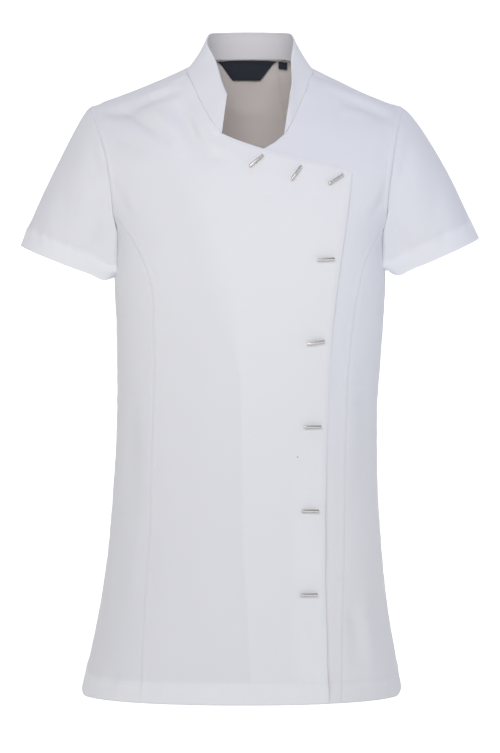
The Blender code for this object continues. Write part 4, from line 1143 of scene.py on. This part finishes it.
def label(row, materials):
    """A blank woven label that hangs below the neck tape."""
    size = dict(zip(LABEL_COLUMNS, row))
    rows = []
    for t in even(LABEL_CELLS[1]):
        left = size["top_left"] + (size["foot_left"] - size["top_left"]) * t
        right = size["top_right"] + (size["foot_right"] - size["top_right"]) * t
        x = left + (right - left) * even(LABEL_CELLS[0])
        level = size["top"] - size["height"] * t
        rows.append(inside_back(x, level, INSET + LABEL_LEAN * t * t))
    panel = Panel(size["name"], np.array(rows))
    panel.rise -= LABEL_UNEVEN[0] * ripple(panel.points, LABEL_UNEVEN[1], LABEL_SEED)
    return sew(panel, materials, LABEL_CLOTH)


# ------------------------------------------------------------------ bar buttons


def bar_button(number, row, wrap, material):
    """A polished round bar with eased ends on a short shank, over the wrap."""
    x, height, angle = row
    hit, up, _, _ = wrap.ray_cast(Vector((x, -1.0, height)), Vector((0.0, 1.0, 0.0)))
    if up.y > 0.0:
        up = -up
    tilt = math.radians(angle)
    along = Vector((math.cos(tilt), 0.0, math.sin(tilt)))
    along = (along - up * along.dot(up)).normalized()
    turn = Matrix((along, up.cross(along), up)).transposed().to_4x4()
    turn.translation = hit
    depth = SHANK_RISE + BAR_RADIUS
    lie = Matrix.Translation((0.0, 0.0, depth)) @ Matrix.Rotation(math.pi / 2.0, 4, "Y")
    stand = Matrix.Translation((0.0, 0.0, depth / 2.0 - SHANK_SINK))
    bar = bmesh.new()
    bmesh.ops.create_cone(bar, cap_ends=True, segments=BAR_FACETS, radius1=BAR_RADIUS,
                          radius2=BAR_RADIUS, depth=BAR_LENGTH, matrix=turn @ lie)
    rims = [edge for edge in bar.edges if len(edge.link_faces) == 2
            and max(len(face.verts) for face in edge.link_faces) == BAR_FACETS]
    bmesh.ops.bevel(bar, geom=rims, offset=BAR_RADIUS * BAR_EDGE, affect="EDGES",
                    segments=BAR_EDGE_STEPS, profile=0.5, material=-1)
    bmesh.ops.create_cone(bar, cap_ends=True, segments=SHANK_FACETS, depth=depth,
                          radius1=SHANK_RADIUS * SHANK_SPREAD, radius2=SHANK_RADIUS,
                          matrix=turn @ stand)
    mesh = bpy.data.meshes.new("bar_%d" % number)
    settled(bar, mesh)
    mesh.materials.append(material)
    for face in mesh.polygons:
        face.use_smooth = len(face.vertices) < FLAT_CORNERS
    thing = placed("bar_%d" % number, mesh)
    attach(thing, "root")
    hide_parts("bar_button_%d" % number)


# ------------------------------------------------------------------ materials

YARN = 0.00040                # from one warp thread to the next, and the weft's share of it
WEFT = 1.3
STITCH_PITCH = 0.0026
STITCH_HALF = 0.00040         # half the width of a thread
THREAD_SHARE = 0.74           # share of a stitch that lies on top
SLUB = (420.0, 3.0)           # scale and detail of the uneven yarn, and of soft cloudiness
CLOUD = (16.0, 4.0)
CLOUD_SHARE = 0.07
# how much painted shade darkens the gaps between stitches, and how dark that and the cloth's
# uneven tone may go
HOLE_SHADE_SHARE = 0.55
SHADE = 0.80
WEAVE_HEIGHT = 0.35
THREAD_HEIGHT = 4.0
CLOTH_RELIEF = (0.35, 0.00008)
RIBBON_RELIEF = (0.30, 0.00010)
LABEL_RIB = 0.00055
LABEL_GRAIN = (260.0, 3.0)
TWILL = 0.0009
METAL_GRAIN = (900.0, 2.0)
SHADE_FADE_HEIGHTS = (-0.33, -0.52)    # heights over which the painted cool shade of the left pieces fades to a plainer white below
FLECK_PLACE = (0.0550, -0.4600)
FLECK_SIZE = 0.0008
FLECK_GREY = (0.20, 0.20, 0.21)
FLECK_SHARE = 0.75


def give(tree, node, values):
    """Gives a node's inputs numbers, colours or what other nodes put out."""
    for name, value in values.items():
        slot = node.inputs[name]
        if isinstance(value, bpy.types.NodeSocket):
            tree.links.new(value, slot)
        else:
            slot.default_value = (*value, 1.0) if isinstance(value, tuple) else value


def added(tree, kind, values, **settings):
    """A new shader node."""
    node = tree.nodes.new("ShaderNode" + kind)
    for name, value in settings.items():
        setattr(node, name, value)
    give(tree, node, values)
    return node


def nodes_of(name):
    """A new node material, its tree and its shader."""
    material = bpy.data.materials.new(name)
    material.use_nodes = True
    tree = material.node_tree
    return material, tree, tree.nodes["Principled BSDF"]


def maths(tree, operation, *values):
    """A Math node on sockets or numbers."""
    return added(tree, "Math", dict(enumerate(values)), operation=operation).outputs[0]


def mixed(tree, factor, first, second):
    """A mix of two colours, each a socket or three numbers."""
    sockets = {0: factor, 6: first, 7: second}
    return added(tree, "Mix", sockets, data_type="RGBA").outputs[2]


def field(tree, name):
    """A value carried by the cloth's points."""
    return added(tree, "Attribute", {}, attribute_name=name).outputs["Fac"]


def noise(tree, scale, detail):
    """Uneven values fixed to the object."""
    place = added(tree, "TexCoord", {}).outputs["Object"]
    values = {"Scale": scale, "Detail": detail, "Vector": place}
    return added(tree, "TexNoise", values).outputs["Fac"]


def object_place(tree):
    """x, y and z on the object."""
    place = added(tree, "TexCoord", {}).outputs["Object"]
    return added(tree, "SeparateXYZ", {0: place}).outputs[:]


def cloth_place(tree):
    """Metres across and up a piece of cloth."""
    place = added(tree, "UVMap", {}, uv_map="cloth").outputs["UV"]
    return added(tree, "SeparateXYZ", {0: place}).outputs[:2]


def waves(tree, place, length):
    """-1 to 1 and back along a length."""
    return maths(tree, "SINE", maths(tree, "MULTIPLY", place, 2.0 * math.pi / length))


def share_below(tree, high, deep):
    """0 above the first height, 1 below the second and soft between them."""
    values = {"From Min": high, "From Max": deep, "Value": object_place(tree)[2]}
    return added(tree, "MapRange", values, interpolation_type="SMOOTHSTEP").outputs["Result"]


def mark_at(tree, x, height, size):
    """1 inside a small round mark on the front, else 0."""
    place = object_place(tree)
    square = [maths(tree, "POWER", maths(tree, "ABSOLUTE", maths(tree, "SUBTRACT", at, to)), 2.0)
              for at, to in ((place[0], x), (place[2], height))]
    inside = maths(tree, "LESS_THAN", maths(tree, "ADD", *square), size * size)
    return maths(tree, "MULTIPLY", maths(tree, "LESS_THAN", place[1], 0.0), inside)


def emboss(tree, shader, height, strength, distance):
    """Raises a surface very slightly."""
    bump = added(tree, "Bump", {"Strength": strength, "Distance": distance, "Height": height})
    give(tree, shader, {"Normal": bump.outputs["Normal"]})


def darker(colour, share):
    """A colour made darker."""
    return tuple(share * value for value in colour)


def poplin(name, single, double, mark=False, low=None):
    """Plain-woven cloth, a little lighter where it is doubled, with a row of stitches whose gaps
    are darkened as painted shade; given a low colour, it turns to that colour lower down as
    painted cool shade fades.
    """
    material, tree, shader = nodes_of(name)
    across, up = cloth_place(tree)
    weave = maths(tree, "MULTIPLY", waves(tree, across, YARN), waves(tree, up, YARN * WEFT))
    slub = noise(tree, *SLUB)
    row = maths(tree, "LESS_THAN", maths(tree, "ABSOLUTE", field(tree, "stitch")), STITCH_HALF)
    beat = maths(tree, "FRACT", maths(tree, "MULTIPLY", across, 1.0 / STITCH_PITCH))
    thread, hole = (maths(tree, "MULTIPLY", row, maths(tree, test, beat, THREAD_SHARE))
                    for test in ("LESS_THAN", "GREATER_THAN"))
    colour = mixed(tree, field(tree, "ply"), single, double)
    # Painted shade: given a low colour, the cloth turns to it lower down, so the painted cool
    # shade above fades out
    if low:
        colour = mixed(tree, share_below(tree, *SHADE_FADE_HEIGHTS), colour, low)
    # Painted shade darkens the gaps between stitches, where the thread dips into the cloth; the
    # cloudiness is the cloth's own uneven tone
    for part, share in ((noise(tree, *CLOUD), CLOUD_SHARE), (hole, HOLE_SHADE_SHARE)):
        colour = mixed(tree, maths(tree, "MULTIPLY", part, share), colour, darker(single, SHADE))
    if mark:
        fleck = maths(tree, "MULTIPLY", mark_at(tree, *FLECK_PLACE, FLECK_SIZE), FLECK_SHARE)
        colour = mixed(tree, fleck, colour, FLECK_GREY)
    give(tree, shader, {"Base Color": colour, "Roughness": 0.86, "Specular IOR Level": 0.25,
                        "Sheen Weight": 0.12, "Sheen Roughness": 0.45})
    high = maths(tree, "ADD", maths(tree, "MULTIPLY", weave, WEAVE_HEIGHT), slub)
    high = maths(tree, "ADD", high, maths(tree, "MULTIPLY", thread, THREAD_HEIGHT))
    emboss(tree, shader, high, *CLOTH_RELIEF)
    return material


def woven_label(name, colour, light):
    """A dense satin label with fine ribs."""
    material, tree, shader = nodes_of(name)
    rib = maths(tree, "MULTIPLY_ADD", waves(tree, cloth_place(tree)[1], LABEL_RIB), 0.5, 0.5)
    fleck = maths(tree, "MULTIPLY", noise(tree, *LABEL_GRAIN), rib)
    give(tree, shader, {"Base Color": mixed(tree, fleck, colour, light), "Roughness": 0.62,
                        "Sheen Weight": 0.20})
    emboss(tree, shader, rib, *RIBBON_RELIEF)
    return material


def twill_tape(name, colour):
    """White tape with a slanting twill."""
    material, tree, shader = nodes_of(name)
    rib = waves(tree, maths(tree, "ADD", *cloth_place(tree)), TWILL)
    shaded = maths(tree, "MULTIPLY_ADD", rib, 0.05, 0.05)
    give(tree, shader, {"Base Color": mixed(tree, shaded, colour, darker(colour, 0.7)),
                        "Roughness": 0.80})
    emboss(tree, shader, rib, *RIBBON_RELIEF)
    return material


def polished_metal(name, colour):
    """Polished plated metal with the faintest unevenness."""
    material, tree, shader = nodes_of(name)
    uneven = mixed(tree, noise(tree, *METAL_GRAIN), colour, darker(colour, 0.86))
    give(tree, shader, {"Base Color": uneven, "Metallic": 1.0, "Roughness": 0.27})
    return material


OUTSIDE = poplin("white_poplin", (0.704, 0.710, 0.738), (0.764, 0.772, 0.798), mark=True)
# Painted shade: the wearer's left front, left side front and left sleeve are a darker, bluer
# white, a painted cool shade on their upper part
SHADED_LEFT = poplin("poplin_left_painted_shade", (0.696, 0.706, 0.756), (0.750, 0.762, 0.808),
              low=(0.716, 0.711, 0.738))
# Painted shade: the inner faces are a warmer copy of the cloth, standing in for the warm shade
# inside the garment
WARM_SHADED_INSIDE = poplin("poplin_inside_painted_shade", (0.740, 0.690, 0.665), (0.750, 0.700, 0.675))
COLLAR = poplin("collar_poplin", (0.720, 0.726, 0.758), (0.720, 0.726, 0.758))
# Painted light: the collar's inner face is a lighter copy of its cloth, brightening the shaded
# inner back of the collar
LIT_COLLAR_INSIDE = poplin("collar_inside_painted_light", (0.815, 0.810, 0.840), (0.815, 0.810, 0.840))
TAPE = twill_tape("white_tape", (0.62, 0.62, 0.63))
LABEL = woven_label("navy_label", (0.0065, 0.010, 0.022), (0.022, 0.030, 0.055))
METAL = polished_metal("polished_bar", (0.76, 0.73, 0.68))

# ------------------------------------------------------------------ the tunic


def dress():
    """Makes every piece of the tunic."""
    both = (OUTSIDE, WARM_SHADED_INSIDE)
    left = (SHADED_LEFT, WARM_SHADED_INSIDE)
    made = {
        "right_centre_front": right_centre_front(both),
        "left_centre_front": left_centre_front(left),
        "right_side_front": side_front("right", both),
        "left_side_front": side_front("left", left),
        "centre_back": centre_back(both),
        "right_side_back": side_back("right", both),
        "left_side_back": side_back("left", both),
        "right_sleeve": sleeve("right", both),
        "left_sleeve": sleeve("left", left),
        "stand_collar": collar((COLLAR, LIT_COLLAR_INSIDE)),
    }
    tape = neck_tape((TAPE,))
    labels = [label(row, (LABEL,)) for row in LABELS]
    wrap = made["right_centre_front"].data
    faces = BVHTree.FromPolygons([vertex.co for vertex in wrap.vertices],
                                 [face.vertices for face in wrap.polygons])
    for number, row in enumerate(BARS, start=1):
        bar_button(number, row, faces, METAL)


dress()

# ------------------------------------------------------------------ floor, light and camera

FLOOR_HALF = 14.0             # to either side of the tunic
FLOOR_FRONT, FLOOR_BACK = -12.0, 5.0
FLOOR_HEIGHT = -2.0
BACKDROP_TOP = 9.0
CURVE_RADIUS = 2.0
CURVE_STEPS = 16
WHITE = (1.0, 1.0, 1.0)
CHEST = (0.0, 0.0, -0.25)     # what every light looks at
GLOW = {"From Min": -1.98, "From Max": -1.78, "To Min": 0.36, "To Max": 0.75}
LIGHTS = (                    # name, place, size, power and colour
    ("key", (0.0, -2.15, 0.66), (1.3, 1.05), 21.6, (1.0, 0.98, 1.0)),
    ("key_left", (-0.9, -2.4, 0.9), (1.6, 1.3), 9.8, (1.0, 1.0, 0.98)),
    ("side_left", (-2.2, -0.6, 0.2), (1.0, 1.6), 2.8, (1.0, 0.95, 1.0)),
    ("side_right", (2.2, -0.6, 0.2), (1.0, 1.6), 7.1, (0.68, 0.82, 1.0)),
    ("top", (0.0, -0.3, 2.2), (1.6, 1.2), 9.2, (0.58, 0.60, 0.95)),
)
CAMERA_PLACE = (0.0, -3.0, -0.3666)
SENSOR = 36.0                 # mm
PIXELS_HIGH = 753.0
PIXELS_AWAY = 2500.0          # the camera's distance, as pixels of the photograph


def pale_floor():
    """A pale floor that curves up into a lit backdrop."""
    line = [(FLOOR_FRONT, FLOOR_HEIGHT), (FLOOR_BACK, FLOOR_HEIGHT)]
    for step in range(1, CURVE_STEPS + 1):
        angle = 0.5 * math.pi * step / CURVE_STEPS
        line.append((FLOOR_BACK + CURVE_RADIUS * math.sin(angle),
                     FLOOR_HEIGHT + CURVE_RADIUS - CURVE_RADIUS * math.cos(angle)))
    line.append((FLOOR_BACK + CURVE_RADIUS, BACKDROP_TOP))
    sweep = bmesh.new()
    edge = [sweep.verts.new((-FLOOR_HALF, y, z)) for y, z in line]
    sides = [sweep.edges.new(pair) for pair in zip(edge[:-1], edge[1:])]
    bmesh.ops.extrude_edge_only(sweep, edges=sides)
    sweep.verts.ensure_lookup_table()
    for vertex in sweep.verts[len(edge):]:
        vertex.co.x = FLOOR_HALF
    bmesh.ops.recalc_face_normals(sweep, faces=sweep.faces)
    mesh = bpy.data.meshes.new("floor")
    settled(sweep, mesh)
    mesh.shade_smooth()
    thing = placed("floor", mesh)
    material, tree, shader = nodes_of("pale_floor")
    glow = added(tree, "MapRange", {"Value": object_place(tree)[2], **GLOW})
    give(tree, shader, {"Base Color": (0.93, 0.93, 0.93), "Roughness": 1.0,
                        "Specular IOR Level": 0.0, "Emission Color": WHITE,
                        "Emission Strength": glow.outputs["Result"]})
    mesh.materials.append(material)


def area_light(name, place, size, power, colour):
    """A soft rectangular light that looks at the chest."""
    lamp = bpy.data.lights.new(name, "AREA")
    lamp.shape = "RECTANGLE"
    lamp.size, lamp.size_y = size
    lamp.energy = power
    lamp.color = colour
    thing = placed(name, lamp)
    thing.location = place
    thing.rotation_euler = (Vector(CHEST) - Vector(place)).to_track_quat("-Z", "Y").to_euler()


def studio():
    """The floor, the soft lights and the camera at the photograph's angle."""
    pale_floor()
    world = bpy.data.worlds.new("studio")
    world.use_nodes = True
    bpy.context.scene.world = world
    background = world.node_tree.nodes["Background"]
    give(world.node_tree, background, {"Color": WHITE, "Strength": 0.30})
    for row in LIGHTS:
        area_light(*row)
    camera = bpy.data.cameras.new("camera")
    camera.sensor_width = SENSOR
    camera.lens = PIXELS_AWAY * SENSOR / PIXELS_HIGH
    camera.clip_end = 60.0
    thing = placed("camera", camera)
    thing.location = CAMERA_PLACE
    thing.rotation_euler = (math.pi / 2.0, 0.0, 0.0)
    bpy.context.scene.camera = thing
    bpy.context.scene.view_settings.view_transform = "Standard"


studio()
